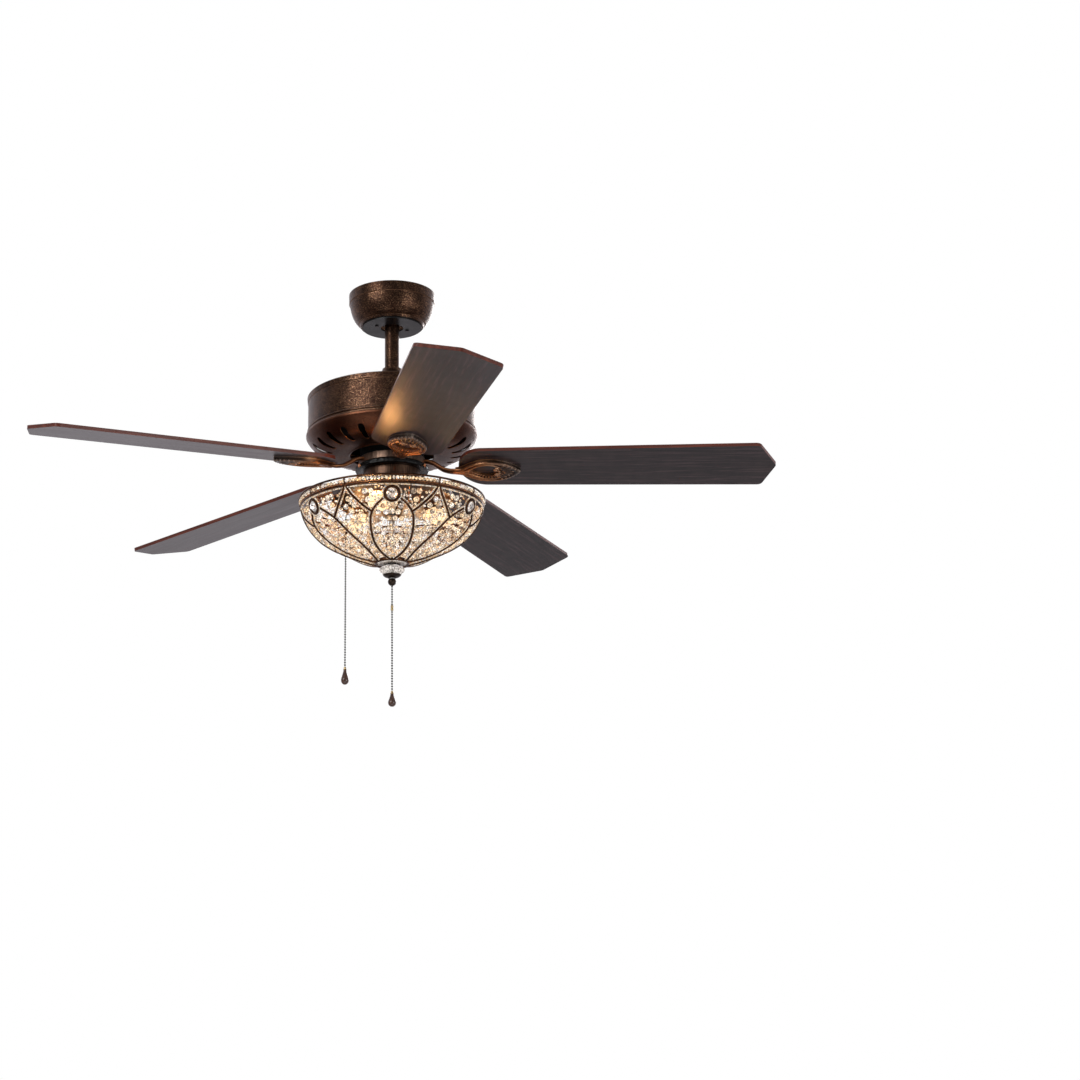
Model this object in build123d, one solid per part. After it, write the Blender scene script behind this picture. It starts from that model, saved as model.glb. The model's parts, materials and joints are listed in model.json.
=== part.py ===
from build123d import *
import math
import os

# A five-blade ceiling fan with a crystal bowl light, hung from a ceiling box on a short downrod.
# Millimetres, +Z up. The origin is on the fan's axis, in the ceiling plane, so heights are negative.
# Azimuths are measured from +X towards +Y. The fan is looked at from the -Y side.

# ---- driving dimensions -------------------------------------------------------------------------

tip_radius = 660.4            # half of the 52 inch sweep
box_screw_spacing = 88.9      # 3.5 inch ceiling box
running = 0.05                # radial clearance of a shaft or screw in its hole

# hanger
ball_z = -40.0
ball_r = 20.0
liner_r = 20.2
liner_wall = 1.6
seat_r = 22.0
seat_wall = 2.2
rod_r = 12.7
rod_bore = 10.9
rod_top = -27.0
rod_bottom = -168.0
pin_r = 3.0
hanger_pin_z = -34.0
clevis_pin_z = -157.0
cotter_x = 17.4
rod_slot_width = 27.0

# canopy
canopy_r = 76.5
canopy_plate_r = 52.5
canopy_plate_top = -58.8
canopy_plate_bottom = -61.3
canopy_hole_r = 20.0
canopy_screw_r = 29.0
canopy_screw_azimuth = 23.0

# housing and motor
lid_z = -186.0
sheet = 1.2
housing_r = 148.8
housing_seam = -263.0
housing_bottom = -300.0
hub_opening_r = 74.0
vent_count = 24
vent_first = -113.0
vent_inner = (108.0, 4.4)     # centre radius and end radius of the vent's narrow end
vent_outer = (132.8, 6.4)     # the same for its wide end
shaft_r = 8.5
shaft_bore = 5.5
bearing_r = 15.05
cover_r = 100.0
cover_top = -208.0
cover_split = -232.0
cover_bottom = -260.0
cover_wall = 4.0
hub_r = 56.0
hub_bore = 40.0
hub_bottom = -306.0
coil_count = 16

# blade irons and blades
blade_count = 5
first_blade = -81.13
blade_names = ("front", "right", "back_right", "back_left", "left")
pitch = 10.94
droop = 2.29
root_z = -323.2               # height of the blade's lower face produced to the axis
blade_thickness = 6.0
blade_root = 117.8
blade_full_width_at = 163.0
root_half_width = 61.4
tip_half_width = 69.05
tip_depth = 26.1
foot_r = 58.0
foot_top = -306.1
foot_bottom = -319.5
foot_seam = 0.4
leaf_thickness = 9.0
arm_width = 15.0
arm_thickness = 8.0
iron_screw_r = 49.0
iron_screw_spread = 18.0
blade_screw_places = ((132.0, 0.0), (205.0, 14.0), (205.0, -14.0))

# switch cup and light kit
plate_r = 64.0
plate_top = -321.5
plate_bottom = -329.5
cup_r = 50.0
cup_bottom = -366.0
pan_r = 105.0
pan_top = -366.2
pan_bottom = -382.0
tube_r = 5.0
tube_bore = 3.0
tube_top = -357.0
tube_bottom = -524.0
cup_screw_azimuths = (-150.0, -30.0, 90.0)
cup_screw_z = -327.0
lamp_azimuths = (-107.0, 13.0, 133.0)
lamp_tilt = 7.0
lamp_z = -395.0
socket_r = 12.0
socket_start = 17.0
socket_end = 54.0
nozzle_bore = 1.6

# crystal bowl: an outline of revolution, flat at the bottom and steep at the rim
bowl_r = 160.0
bowl_top = -367.4
bowl_depth = 131.4
rim_r = 161.0
rim_z = -382.0
second_r = 158.4
second_z = -395.0
rim_wire = 1.6
wire = 1.5
petal_count = 6
first_petal = -90.0
petal_edge = ((28.5, 6.0), (42.0, 15.5), (58.0, 20.3), (78.0, 21.4), (100.0, 19.8), (120.0, 17.5),
              (134.0, 15.0), (143.5, 10.5), (150.0, 4.9))     # radius, degrees from the petal's middle
swag = ((136.3, 14.4), (142.0, 18.5), (149.0, 23.0), (154.5, 27.0), (158.0, 29.4))
medallion_at = 152.5
medallion_r = 10.2
medallion_ring_r = 14.4
crystal_gap = 2.2
crystal_wall = 5.0

# finial
flange_r = 26.0
flange_top = -492.0
flange_bottom = -495.5
collar_r = 15.0
collar_bottom = -498.5
crystal_bottom = -513.6
cap_r = 15.9
cap_bottom = -520.6
knob_r = 7.2
knob_z = -526.5

# pull chains
chain_r = 1.2
fan_chain_x = -81.0
fan_chain_y = 40.0
fan_chain_top = -385.0
fan_chain_bottom = -668.6
light_chain_top = -356.0
light_chain_bottom = -719.0
connector_z = -573.0
fob_r = 6.85
fan_fob_length = 29.8
light_fob_length = 26.0


# ---- helpers ------------------------------------------------------------------------------------

def save(name, *shapes):
    """Writes one node. Several shapes are kept as separate solids of one group."""
    solids = [solid for shape in shapes for solid in shape.solids()]
    export_step(solids[0] if len(solids) == 1 else Compound(solids), f"parts/{name}.step")


def tube(outer, inner, top, bottom):
    """An upright tube, or a rod where inner is 0."""
    height = top - bottom
    body = Cylinder(outer, height)
    if inner:
        body -= Cylinder(inner, 2 * height)
    return Pos(0, 0, (top + bottom) / 2) * body


def block(width, depth, top, bottom, x=0.0, y=0.0):
    return Pos(x, y, (top + bottom) / 2) * Box(width, depth, top - bottom)


def turned(*points):
    """A solid of revolution from a closed outline of (radius, height) corners."""
    outline = [(r, 0, z) for r, z in points]
    return revolve(make_face(Polyline(*outline, close=True).edges()), Axis.Z)


def stretch(points):
    """One stretch of an outline: a line through two points, a smooth curve through more."""
    places = [(r, 0, z) for r, z in points]
    return Line(*places) if len(places) == 2 else Spline(*places)


def inside_of(points, wall):
    """The same outline moved inwards by wall, with mitred corners. It runs from top to bottom."""
    moved = []
    for i, (r, z) in enumerate(points):
        normals = []
        for a, b in ((i - 1, i), (i, i + 1)):
            if a >= 0 and b < len(points):
                dr, dz = points[b][0] - points[a][0], points[b][1] - points[a][1]
                normals.append((dz / math.hypot(dr, dz), -dr / math.hypot(dr, dz)))
        nr, nz = sum(n[0] for n in normals), sum(n[1] for n in normals)
        reach = wall * len(normals) / (nr * nr + nz * nz)
        moved.append((0.0, z + wall) if r == 0 else (r + nr * reach, z + nz * reach))
    return moved


def turned_wall(stretches, wall):
    """A spun sheet: an outline from top to bottom, given in stretches, with its wall inside it."""
    corners = [stretches[0][0]] + [p for points in stretches for p in points[1:]]
    inner = inside_of(corners, wall)
    edges = [stretch(points) for points in stretches]
    at = 0
    for points in stretches:
        edges.append(stretch(inner[at:at + len(points)]))
        at += len(points) - 1
    edges.append(stretch((corners[0], inner[0])))
    edges.append(stretch((corners[-1], inner[-1])))
    return revolve(make_face(edges), Axis.Z)


def curved_solid(points, bore=0.0):
    """A solid of revolution with a smooth side, from top to bottom, and flat ends."""
    (top_r, top_z), (low_r, low_z) = points[0], points[-1]
    edges = [stretch(points), stretch(((bore, top_z), (top_r, top_z)))]
    edges.append(stretch(((bore, low_z), (low_r, low_z))))
    edges.append(stretch(((bore, top_z), (bore, low_z))))
    return revolve(make_face(edges), Axis.Z)


def cross_rod(radius, length, z):
    """A rod along X, centred on the axis."""
    return Pos(0, 0, z) * Rot(0, 90, 0) * Cylinder(radius, length)


def hex_nut(size_r, bore, top, bottom):
    nut = extrude(Pos(0, 0, bottom) * RegularPolygon(size_r, 6), top - bottom)
    return nut - tube(bore, 0, top + 1, bottom - 1)


def spherical_ring(inner, wall, first_angle, last_angle):
    """Part of a hollow sphere about the ball's centre, between two angles from straight down."""
    ball = Pos(0, 0, ball_z)
    zone = ball * (Sphere(inner + wall) - Sphere(inner))
    low = ball_z - inner * math.cos(math.radians(first_angle))
    high = ball_z - inner * math.cos(math.radians(last_angle))
    return zone & tube(2 * inner, 0, high, low)


# ---- hanger and canopy --------------------------------------------------------------------------

def canopy_screw_holes(radius, top, bottom):
    holes = [Rot(0, 0, canopy_screw_azimuth + turn) * Pos(canopy_screw_r, 0, 0)
             * tube(radius, 0, top, bottom) for turn in (0, 180)]
    return holes[0] + holes[1]


def hanger_bracket():
    bar = block(120, 30, 0, -2.5)
    for side in (-1, 1):
        slot = Pos(side * box_screw_spacing / 2, 0, 0) * extrude(SlotOverall(13, 5.5), 10, both=True)
        bar -= slot
        bar += block(2.5, 30, 0, -48.5, x=side * 32)
    plate = block(66.5, 36, -46, -48.5) - tube(22.5, 0, -40, -60)
    bar += plate
    bar += spherical_ring(seat_r, seat_wall, 55, 80)
    bar -= canopy_screw_holes(1.6, -40, -60)
    bar -= block(rod_slot_width, 60, -41, -60, y=30)
    return bar


def seat_liner():
    return spherical_ring(liner_r, liner_wall, 57, 80) - block(rod_slot_width, 60, -30, -60, y=30)


def canopy():
    return turned_wall((((canopy_r, -0.5), (76.3, -17)), ((76.3, -17), (75, -18.5)),
                        ((75, -18.5), (73, -29), (68, -43), (60, -53.5)),
                        ((60, -53.5), (57.5, -54.5)), ((57.5, -54.5), (55.5, canopy_plate_top)),
                        ((55.5, canopy_plate_top), (44, canopy_plate_top))), 1.0)


def canopy_plate():
    plate = tube(canopy_plate_r, canopy_hole_r, canopy_plate_top, canopy_plate_bottom)
    return plate - canopy_screw_holes(1.6, canopy_plate_top + 1, canopy_plate_bottom - 1)


def canopy_screws():
    screws = []
    for turn in (0, 180):
        place = Rot(0, 0, canopy_screw_azimuth + turn) * Pos(canopy_screw_r, 0, 0)
        shank = tube(1.5, 0, -46, canopy_plate_bottom)
        head = tube(3.2, 0, canopy_plate_bottom, canopy_plate_bottom - 1.8)
        screws.append(place * (shank + head))
    return screws


# ---- ball, rod and yoke -------------------------------------------------------------------------

def hanger_ball():
    ball = Pos(0, 0, ball_z) * Sphere(ball_r) - block(60, 60, 0, -26)
    ball -= tube(rod_r + running, 0, 0, -80)
    return ball - cross_rod(pin_r + running, 60, hanger_pin_z)


def downrod():
    rod = tube(rod_r, rod_bore, rod_top, rod_bottom)
    for z in (hanger_pin_z, clevis_pin_z):
        rod -= cross_rod(pin_r + running, 60, z)
    return rod


def hanging_pins():
    clevis = cross_rod(pin_r, 39, clevis_pin_z) - Pos(cotter_x, 0, 0) * tube(0.85, 0, -150, -164)
    return [cross_rod(pin_r, 36, hanger_pin_z), clevis]


def cotter():
    eye = Pos(cotter_x, 0, clevis_pin_z + 6.4) * Rot(0, 90, 0) * Torus(1.6, 0.7)
    return Pos(cotter_x, 0, 0) * tube(0.75, 0, clevis_pin_z + 5, clevis_pin_z - 5) + eye


def yoke_cover():
    return turned_wall((((17, -139), (18.5, -143.5), (24, -153), (33, -168), (43, -180),
                         (47.5, -183.6)), ((47.5, -183.6), (47.5, lid_z + 0.1))), 1.0)


def housing_screw_holes(radius, top, bottom):
    ring = [Rot(0, 0, 45 + 90 * i) * Pos(27, 0, 0) * tube(radius, 0, top, bottom) for i in range(4)]
    return ring[0] + ring[1] + ring[2] + ring[3]


def motor_yoke():
    yoke = tube(16, rod_r + running, -148, -170)
    yoke += tube(16, shaft_r + running, -169, -195)
    yoke += tube(34, 16, lid_z - sheet - 0.1, -192)
    yoke -= cross_rod(pin_r + running, 60, clevis_pin_z)
    return yoke - housing_screw_holes(2.05, -180, -200)


def housing_screws():
    ring = []
    for i in range(4):
        screw = tube(2.0, 0, lid_z, -191) + tube(4, 0, lid_z + 2.2, lid_z)
        ring.append(Rot(0, 0, 45 + 90 * i) * Pos(27, 0, 0) * screw)
    return ring


# ---- housing and motor --------------------------------------------------------------------------

def upper_housing():
    wall = (((20, lid_z), (60, lid_z)), ((60, lid_z), (100, -187.5), (135, -191.5), (147, -195)),
            ((147, -195), (housing_r, -196.5)), ((housing_r, -196.5), (148, -205)),
            ((148, -205), (147.2, -206)), ((147.2, -206), (147.2, -255.5)),
            ((147.2, -255.5), (148.6, -257)), ((148.6, -257), (148.6, -258.8)),
            ((148.6, -258.8), (147.6, -260)), ((147.6, -260), (148.8, -261.2)),
            ((148.8, -261.2), (148.8, housing_seam)))
    return turned_wall(wall, sheet) - housing_screw_holes(2.05, -180, -190)


def vent():
    (r1, half1), (r2, half2) = vent_inner, vent_outer
    ends = (Pos(r1, 0) * Circle(half1)).edges() + (Pos(r2, 0) * Circle(half2)).edges()
    return Pos(0, 0, -315) * extrude(make_hull(ends), 60)


def lower_housing():
    wall = (((149.4, housing_seam - 0.3), (150.5, -265)), ((150.5, -265), (150.3, -268)),
            ((150.3, -268), (147, -273.5), (141.5, -280), (128, -292), (112, -297.6), (92, -299.6),
             (hub_opening_r, housing_bottom)))
    shell = turned_wall(wall, sheet)
    cut = vent()
    return shell - [Rot(0, 0, vent_first + i * 360 / vent_count) * cut for i in range(vent_count)]


def motor_shaft():
    return tube(shaft_r, shaft_bore, -172, -333)


def stator_core():
    core = tube(87.4, shaft_r, -218, -250)
    slot = block(30, 10, -200, -270, x=65)
    return core - [Rot(0, 0, i * 360 / coil_count) * slot for i in range(coil_count)]


def stator_windings():
    coil = block(29.4, 9.4, -214.5, -253.5, x=65)
    rings = [tube(79.7, 50.3, -214.5, -217.5), tube(79.7, 50.3, -250.5, -253.5)]
    return rings[0] + ([rings[1]] + [Rot(0, 0, i * 360 / coil_count) * coil
                                     for i in range(coil_count)])


def rotor_top_cover():
    lip = cover_r - cover_wall + 1
    return turned((15.1, -198), (20, -198), (20, cover_top), (cover_r, cover_top),
                  (cover_r, cover_split), (lip, cover_split), (lip, cover_top - cover_wall),
                  (15.1, cover_top - cover_wall))


def rotor_bottom_cover():
    lip = cover_r - cover_wall + 1
    floor = cover_bottom + cover_wall
    cover = turned((15.1, floor), (lip, floor), (lip, cover_split - 0.2), (cover_r, cover_split - 0.2),
                   (cover_r, cover_bottom), (hub_r, cover_bottom), (hub_r, hub_bottom),
                   (hub_bore, hub_bottom), (hub_bore, cover_bottom - cover_wall),
                   (20, cover_bottom - cover_wall), (20, -270), (15.1, -270))
    return cover - [place * tube(2.55, 0, -290, -310) for place in iron_screw_places()]


def rotor_cage():
    return tube(96.9, 88.0, -213, -255)


def bearings():
    inner = shaft_r + running
    return [tube(bearing_r, inner, -199, cover_top), tube(bearing_r, inner, cover_bottom, -269)]


# ---- blades and irons ---------------------------------------------------------------------------

def blade_azimuths():
    return [first_blade + i * 360 / blade_count for i in range(blade_count)]


def blade_plane(azimuth):
    """Local X runs out along the blade, and local Z is 0 on the blade's lower face."""
    return Rot(0, 0, azimuth) * Pos(0, 0, root_z) * Rot(0, droop, 0) * Rot(-pitch, 0, 0)


def iron_screw_places():
    return [Rot(0, 0, azimuth + side * iron_screw_spread) * Pos(iron_screw_r, 0, 0)
            for azimuth in blade_azimuths() for side in (-1, 1)]


def blade(azimuth):
    corner = tip_radius - tip_depth
    edges = [EllipticalCenterArc((blade_full_width_at, 0), blade_full_width_at - blade_root,
                                 root_half_width, start_angle=90, arc_size=180)]
    edges += Polyline((blade_full_width_at, root_half_width), (corner, tip_half_width),
                      (tip_radius, 0), (corner, -tip_half_width),
                      (blade_full_width_at, -root_half_width)).edges()
    board = extrude(make_face(edges), blade_thickness)
    tips = board.edges().filter_by(Axis.Z).filter_by(lambda e: e.center().X > corner - 1)
    board = fillet(tips, 10)
    holes = [Pos(x, y, 0) * Cylinder(2.05, 4 * blade_thickness) for x, y in blade_screw_places]
    return blade_plane(azimuth) * (board - holes)


def leaf():
    half = ((112, 5), (122, 8.5), (138, 21), (154, 30), (170, 33), (186, 31.5), (202, 24.5), (216, 13), (226, 0))
    window = ((139.5, 0), (147, 10.5), (158, 17.5), (168, 19), (178, 15.5), (187, 0))
    outline = [Spline(*half, *[(x, -y) for x, y in half[-2::-1]]), Line((112, 5), (112, -5))]
    hole = [Spline(*window), Spline(*[(x, -y) for x, y in window])]
    plate = Pos(0, 0, -leaf_thickness) * extrude(make_face(outline), leaf_thickness - 0.05)
    return plate - Pos(0, 0, -leaf_thickness - 1) * extrude(make_face(hole), leaf_thickness + 2)


def blade_iron(azimuth):
    middle = ((50, -312.8), (62, -313.2), (72, -316.4), (82, -323), (92, -329.3), (104, -332.6),
              (118, -333.4), (136, -334.2))
    half = arm_thickness / 2
    top = [(x, 0, z + half) for x, z in middle]
    low = [(x, 0, z - half) for x, z in middle]
    side = make_face([Spline(*top), Spline(*low), Line(top[0], low[0]), Line(top[-1], low[-1])])
    arm = extrude(side, arm_width / 2, both=True)
    foot = tube(foot_r, hub_bore, foot_top, foot_bottom)
    sector = 360 / blade_count
    for turn in (-1, 1):
        seam = Rot(0, 0, turn * sector / 2) * block(2 * foot_r, 4 * foot_r, 0, -400, x=0,
                                                    y=turn * (2 * foot_r - foot_seam / 2))
        foot -= seam
    foot &= block(4 * foot_r, 4 * foot_r, 0, -400, x=2 * foot_r)
    iron = Rot(0, 0, azimuth) * (foot + arm) + blade_plane(azimuth) * leaf()
    for x, y in blade_screw_places:
        iron -= blade_plane(azimuth) * Pos(x, y, -3) * Cylinder(2.05, 8)
    for place in iron_screw_places():
        iron -= place * tube(2.55, 0, -290, -330)
        iron -= place * tube(4.5, 0, foot_bottom + 2.6, -330)
    return iron


def blade_screws():
    screw = Pos(0, 0, 7.1) * Cylinder(4.5, 2.2) + Pos(0, 0, 0.6) * Cylinder(2.0, 10.8)
    return [blade_plane(azimuth) * Pos(x, y, 0) * screw
            for azimuth in blade_azimuths() for x, y in blade_screw_places]


def iron_screws():
    screw = tube(2.5, 0, -292, -318) + tube(4.4, 0, foot_bottom + 2.5, foot_bottom + 0.3)
    return [place * screw for place in iron_screw_places()]


# ---- switch cup and light kit -------------------------------------------------------------------

def cup_screw_holes(radius):
    return [Rot(0, 0, azimuth) * Pos(54, 0, cup_screw_z) * Rot(0, 90, 0) * Cylinder(radius, 30)
            for azimuth in cup_screw_azimuths]


def mounting_plate():
    plate = turned((shaft_r + running, plate_top), (62, plate_top), (plate_r, -323.5),
                   (plate_r, -327.5), (62, plate_bottom), (46, plate_bottom), (46, -324),
                   (shaft_r + running, -324))
    return plate - cup_screw_holes(1.55)


def cup_screws():
    screw = Pos(54.5, 0, 0) * Rot(0, 90, 0) * Cylinder(1.5, 19)
    screw += Pos(65, 0, 0) * Rot(0, 90, 0) * Cylinder(3.2, 2)
    return [Rot(0, 0, azimuth) * Pos(0, 0, cup_screw_z) * screw for azimuth in cup_screw_azimuths]


def switch_cup():
    wall = (((45.8, -325), (45.8, plate_bottom - 0.2)),
            ((45.8, plate_bottom - 0.2), (cup_r, plate_bottom - 0.2)),
            ((cup_r, plate_bottom - 0.2), (cup_r, -362)), ((cup_r, -362), (46, cup_bottom)),
            ((46, cup_bottom), (tube_r + 0.2, cup_bottom)))
    cup = turned_wall(wall, sheet) - cup_screw_holes(1.55)
    return cup - block(12, 8, -343, -348.4, y=cup_r - 1)


def lock_nuts():
    return [hex_nut(12.7, shaft_r + running, -324.2, -329),
            hex_nut(9, tube_r + running, -360, cup_bottom + sheet + 0.1),
            hex_nut(9, tube_r + running, pan_top - 1.1, -371.5)]


def capacitor():
    can = block(34, 16, -337, -360, y=28)
    return fillet(can.edges().filter_by(Axis.Z), 2)


def pull_switch(top, body_bottom, nozzle_bottom, width, depth, nozzle_r):
    body = block(width, depth, top, body_bottom) + tube(nozzle_r, 0, body_bottom, nozzle_bottom)
    return body - tube(nozzle_bore, 0, body_bottom + 1, nozzle_bottom - 1)


def light_switch():
    return pull_switch(-338, -352, -361, 24, 20, 2.8)


def speed_switch():
    turn = math.degrees(math.atan2(fan_chain_y, fan_chain_x))
    return (Pos(fan_chain_x, fan_chain_y, 0) * Rot(0, 0, turn)
            * pull_switch(-368, -383.4, -393.4, 22, 26, 4.5))


def reverse_switch():
    return block(20, 8, -339, -352.4, y=43.5) - block(12, 8, -342.9, -348.5, y=45.5)


def reverse_slider():
    return block(4, 9.5, -343.9, -347.5, x=-3, y=47.25)


def light_pan():
    return turned_wall((((tube_r + 0.2, pan_top), (103, pan_top)), ((103, pan_top), (pan_r, -368.5)),
                        ((pan_r, -368.5), (pan_r, pan_bottom))), 1.0)


def centre_rod():
    return tube(tube_r, tube_bore, tube_top, tube_bottom)


def lamp_place(azimuth):
    """Local -Z runs outwards along the lamp, from the fan's axis."""
    return Pos(0, 0, lamp_z) * Rot(0, 0, azimuth) * Rot(0, lamp_tilt - 90, 0)


def socket_hub():
    return tube(15, tube_r + 0.1, lamp_z + 9, lamp_z - 9)


def lamp_sockets():
    socket = tube(socket_r, 0, -socket_start, -socket_end) - tube(7.2, 0, -30, -60)
    return [lamp_place(azimuth) * socket for azimuth in lamp_azimuths]


def lamp_bases():
    base = tube(6.8, 0, -32, -socket_end) + tube(3, 0, -30.2, -32)
    return [lamp_place(azimuth) * base for azimuth in lamp_azimuths]


def lamps():
    bulb = turned_wall((((6.3, -54.2), (8, -60), (15.5, -72), (17.5, -84), (13.5, -98), (5.5, -110),
                         (0, -114.5)),), 0.8)
    return [lamp_place(azimuth) * bulb for azimuth in lamp_azimuths]


# ---- crystal bowl -------------------------------------------------------------------------------

def bowl_height(r):
    return bowl_top - bowl_depth * (1 - (r / bowl_r) ** 1.43) ** (1 / 2.6)


def bowl_place(r, azimuth):
    angle = math.radians(azimuth)
    return (r * math.cos(angle), r * math.sin(angle), bowl_height(r))


def bowl_wire(points, middle, side):
    path = Spline(*[bowl_place(r, middle + side * off) for r, off in points])
    return sweep(Plane(path @ 0, z_dir=path % 0) * Circle(wire), path)


def petal_middles():
    return [first_petal + i * 360 / petal_count for i in range(petal_count)]


def medallion_plane(azimuth):
    step = 0.5
    slope = (bowl_height(medallion_at + step) - bowl_height(medallion_at - step)) / (2 * step)
    lean = math.degrees(math.atan(slope))
    place = Rot(0, 0, azimuth) * Pos(medallion_at, 0, bowl_height(medallion_at))
    return place * Rot(0, 180 - lean, 0)


def wire_ring(r, z):
    """A rim wire, eight-sided in section."""
    corners = [math.radians(22.5 + 45 * i) for i in range(8)]
    return turned(*[(r + rim_wire * math.cos(a), z + rim_wire * math.sin(a)) for a in corners])


def bowl_frame():
    frame = wire_ring(rim_r, rim_z) + wire_ring(second_r, second_z)
    divider_length = math.hypot(rim_r - second_r, rim_z - second_z)
    lean = math.degrees(math.atan2(rim_r - second_r, rim_z - second_z))
    for i in range(2 * petal_count):
        middle = Pos((rim_r + second_r) / 2, 0, (rim_z + second_z) / 2) * Rot(0, lean, 0)
        frame += Rot(0, 0, first_petal + 30 * i) * middle * Box(2.0, 2.8, divider_length)
    for azimuth in petal_middles():
        ring = Cylinder(medallion_ring_r, 4) - Cylinder(medallion_r + 0.2, 5)
        frame += medallion_plane(azimuth) * ring
        frame += Rot(0, 0, azimuth) * Pos(158, 0, -398) * Box(2.4, 3.2, 6.5)
        for side in (-1, 1):
            frame += bowl_wire(petal_edge, azimuth, side)
            frame += bowl_wire(swag, azimuth, side)
    return frame + turned((20, -489.5), (30, -489.5), (30, -495.3), (26.6, -495.3),
                          (26.6, -491.7), (20, -491.7))


def bowl_crystals():
    radii = [31.5 + (157.6 - 31.5) * math.sin(math.radians(i * 10)) for i in range(10)]
    outline = [(r, bowl_height(r)) for r in reversed(radii)]
    outer = inside_of(outline, crystal_gap)
    inner = inside_of(outline, crystal_gap + crystal_wall)
    edges = [stretch(outer), stretch(inner), stretch((outer[0], inner[0])),
             stretch((outer[-1], inner[-1]))]
    shell = revolve(make_face(edges), Axis.Z)
    shell -= Pos(fan_chain_x, fan_chain_y, 0) * tube(4, 0, -440, -500)
    band = tube(157.2, 154.5, rim_z - 2.2, second_z + 2.2)
    return [band, shell]


def medallion_crystals():
    crystal = turned((0, -1.5), (medallion_r, -1.5), (medallion_r, 1), (6, 5), (0, 5))
    return [medallion_plane(azimuth) * crystal for azimuth in petal_middles()]


# ---- finial and pull chains ---------------------------------------------------------------------

def finial_crystal():
    return curved_solid(((14, collar_bottom - 0.1), (20.5, -502), (21.8, -506), (20, -510),
                         (14.5, crystal_bottom)), tube_r + 0.1)


def finial_cap():
    bore = tube_r + 0.1
    top = crystal_bottom - 0.2
    return turned((bore, top), (cap_r, top), (cap_r, -515), (12.5, -518.2), (6.5, cap_bottom),
                  (bore, cap_bottom))


def finial_knob():
    knob = Pos(0, 0, knob_z) * Sphere(knob_r) - block(30, 30, -500, cap_bottom - 0.1)
    knob -= tube(tube_r + running, 0, -515, tube_bottom - 0.5)
    return knob - tube(1.8, 0, -515, -540)


def fob(top, length):
    return curved_solid(((1.6, top), (3.4, top - 0.3 * length), (fob_r, top - 0.7 * length),
                         (1.5, top - length)))


def connector():
    return tube(2.4, chain_r + running, connector_z + 4.5, connector_z - 4.5)


# ---- the nodes ----------------------------------------------------------------------------------

os.makedirs("parts", exist_ok=True)

save("hanger_bracket", hanger_bracket())
save("seat_liner", seat_liner())
save("canopy", canopy())
save("canopy_plate", canopy_plate())
save("canopy_screws", *canopy_screws())

save("hanger_ball", hanger_ball())
save("downrod", downrod())
save("hanging_pins", *hanging_pins(), cotter())
save("yoke_cover", yoke_cover())
save("motor_yoke", motor_yoke())
save("housing_screws", *housing_screws())
save("upper_housing", upper_housing())
save("lower_housing", lower_housing())
save("motor_shaft", motor_shaft())
save("stator_core", stator_core())
save("stator_windings", stator_windings())

save("rotor_top_cover", rotor_top_cover())
save("rotor_bottom_cover", rotor_bottom_cover())
save("rotor_cage", rotor_cage())
save("bearings", *bearings())
for side_name, side_azimuth in zip(blade_names, blade_azimuths()):
    save(f"blade_{side_name}", blade(side_azimuth))
    save(f"blade_iron_{side_name}", blade_iron(side_azimuth))
save("blade_screws", *blade_screws())
save("iron_screws", *iron_screws())

save("mounting_plate", mounting_plate())
save("cup_screws", *cup_screws())
save("switch_cup", switch_cup())
save("lock_nuts", *lock_nuts())
save("capacitor", capacitor())
save("light_switch", light_switch())
save("speed_switch", speed_switch())
save("reverse_switch", reverse_switch())
save("reverse_slider", reverse_slider())
save("light_pan", light_pan())
save("centre_rod", centre_rod())
save("socket_hub", socket_hub())
save("lamp_sockets", *lamp_sockets())
save("lamp_bases", *lamp_bases())
save("lamps", *lamps())

save("bowl_frame", bowl_frame())
save("bowl_crystals", *bowl_crystals())
save("medallion_crystals", *medallion_crystals())
save("finial_flange", tube(flange_r, tube_r + 0.1, flange_top, flange_bottom))
save("finial_collar", tube(collar_r, tube_r + 0.1, flange_bottom - 0.1, collar_bottom))
save("finial_crystal", finial_crystal())
save("finial_cap", finial_cap())
save("finial_knob", finial_knob())

save("fan_chain", Pos(fan_chain_x, fan_chain_y, 0) * tube(chain_r, 0, fan_chain_top, fan_chain_bottom))
save("fan_fob", Pos(fan_chain_x, fan_chain_y, 0) * fob(fan_chain_bottom, fan_fob_length))
save("light_chain", tube(chain_r, 0, light_chain_top, light_chain_bottom))
save("chain_connector", connector())
save("light_fob", fob(light_chain_bottom, light_fob_length))
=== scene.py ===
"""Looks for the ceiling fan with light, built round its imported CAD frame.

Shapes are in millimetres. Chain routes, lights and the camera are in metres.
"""
import json
import math
import random

import bmesh
import bpy
import numpy as np
from mathutils import Matrix, Vector, kdtree


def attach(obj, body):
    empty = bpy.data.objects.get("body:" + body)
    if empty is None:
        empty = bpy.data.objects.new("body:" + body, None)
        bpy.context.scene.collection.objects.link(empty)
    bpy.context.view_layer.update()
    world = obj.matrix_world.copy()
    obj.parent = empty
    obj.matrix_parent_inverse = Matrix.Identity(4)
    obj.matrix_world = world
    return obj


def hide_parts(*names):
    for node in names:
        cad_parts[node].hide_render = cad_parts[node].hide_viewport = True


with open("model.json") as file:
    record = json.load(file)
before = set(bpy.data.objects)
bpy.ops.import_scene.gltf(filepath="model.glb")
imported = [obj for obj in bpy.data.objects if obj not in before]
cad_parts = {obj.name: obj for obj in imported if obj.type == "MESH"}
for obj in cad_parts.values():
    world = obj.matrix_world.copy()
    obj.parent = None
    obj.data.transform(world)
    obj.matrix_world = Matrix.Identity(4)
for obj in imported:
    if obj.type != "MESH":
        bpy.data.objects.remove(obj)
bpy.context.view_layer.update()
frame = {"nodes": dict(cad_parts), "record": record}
nodes = frame["nodes"]
rng = random.Random(52)
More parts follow.
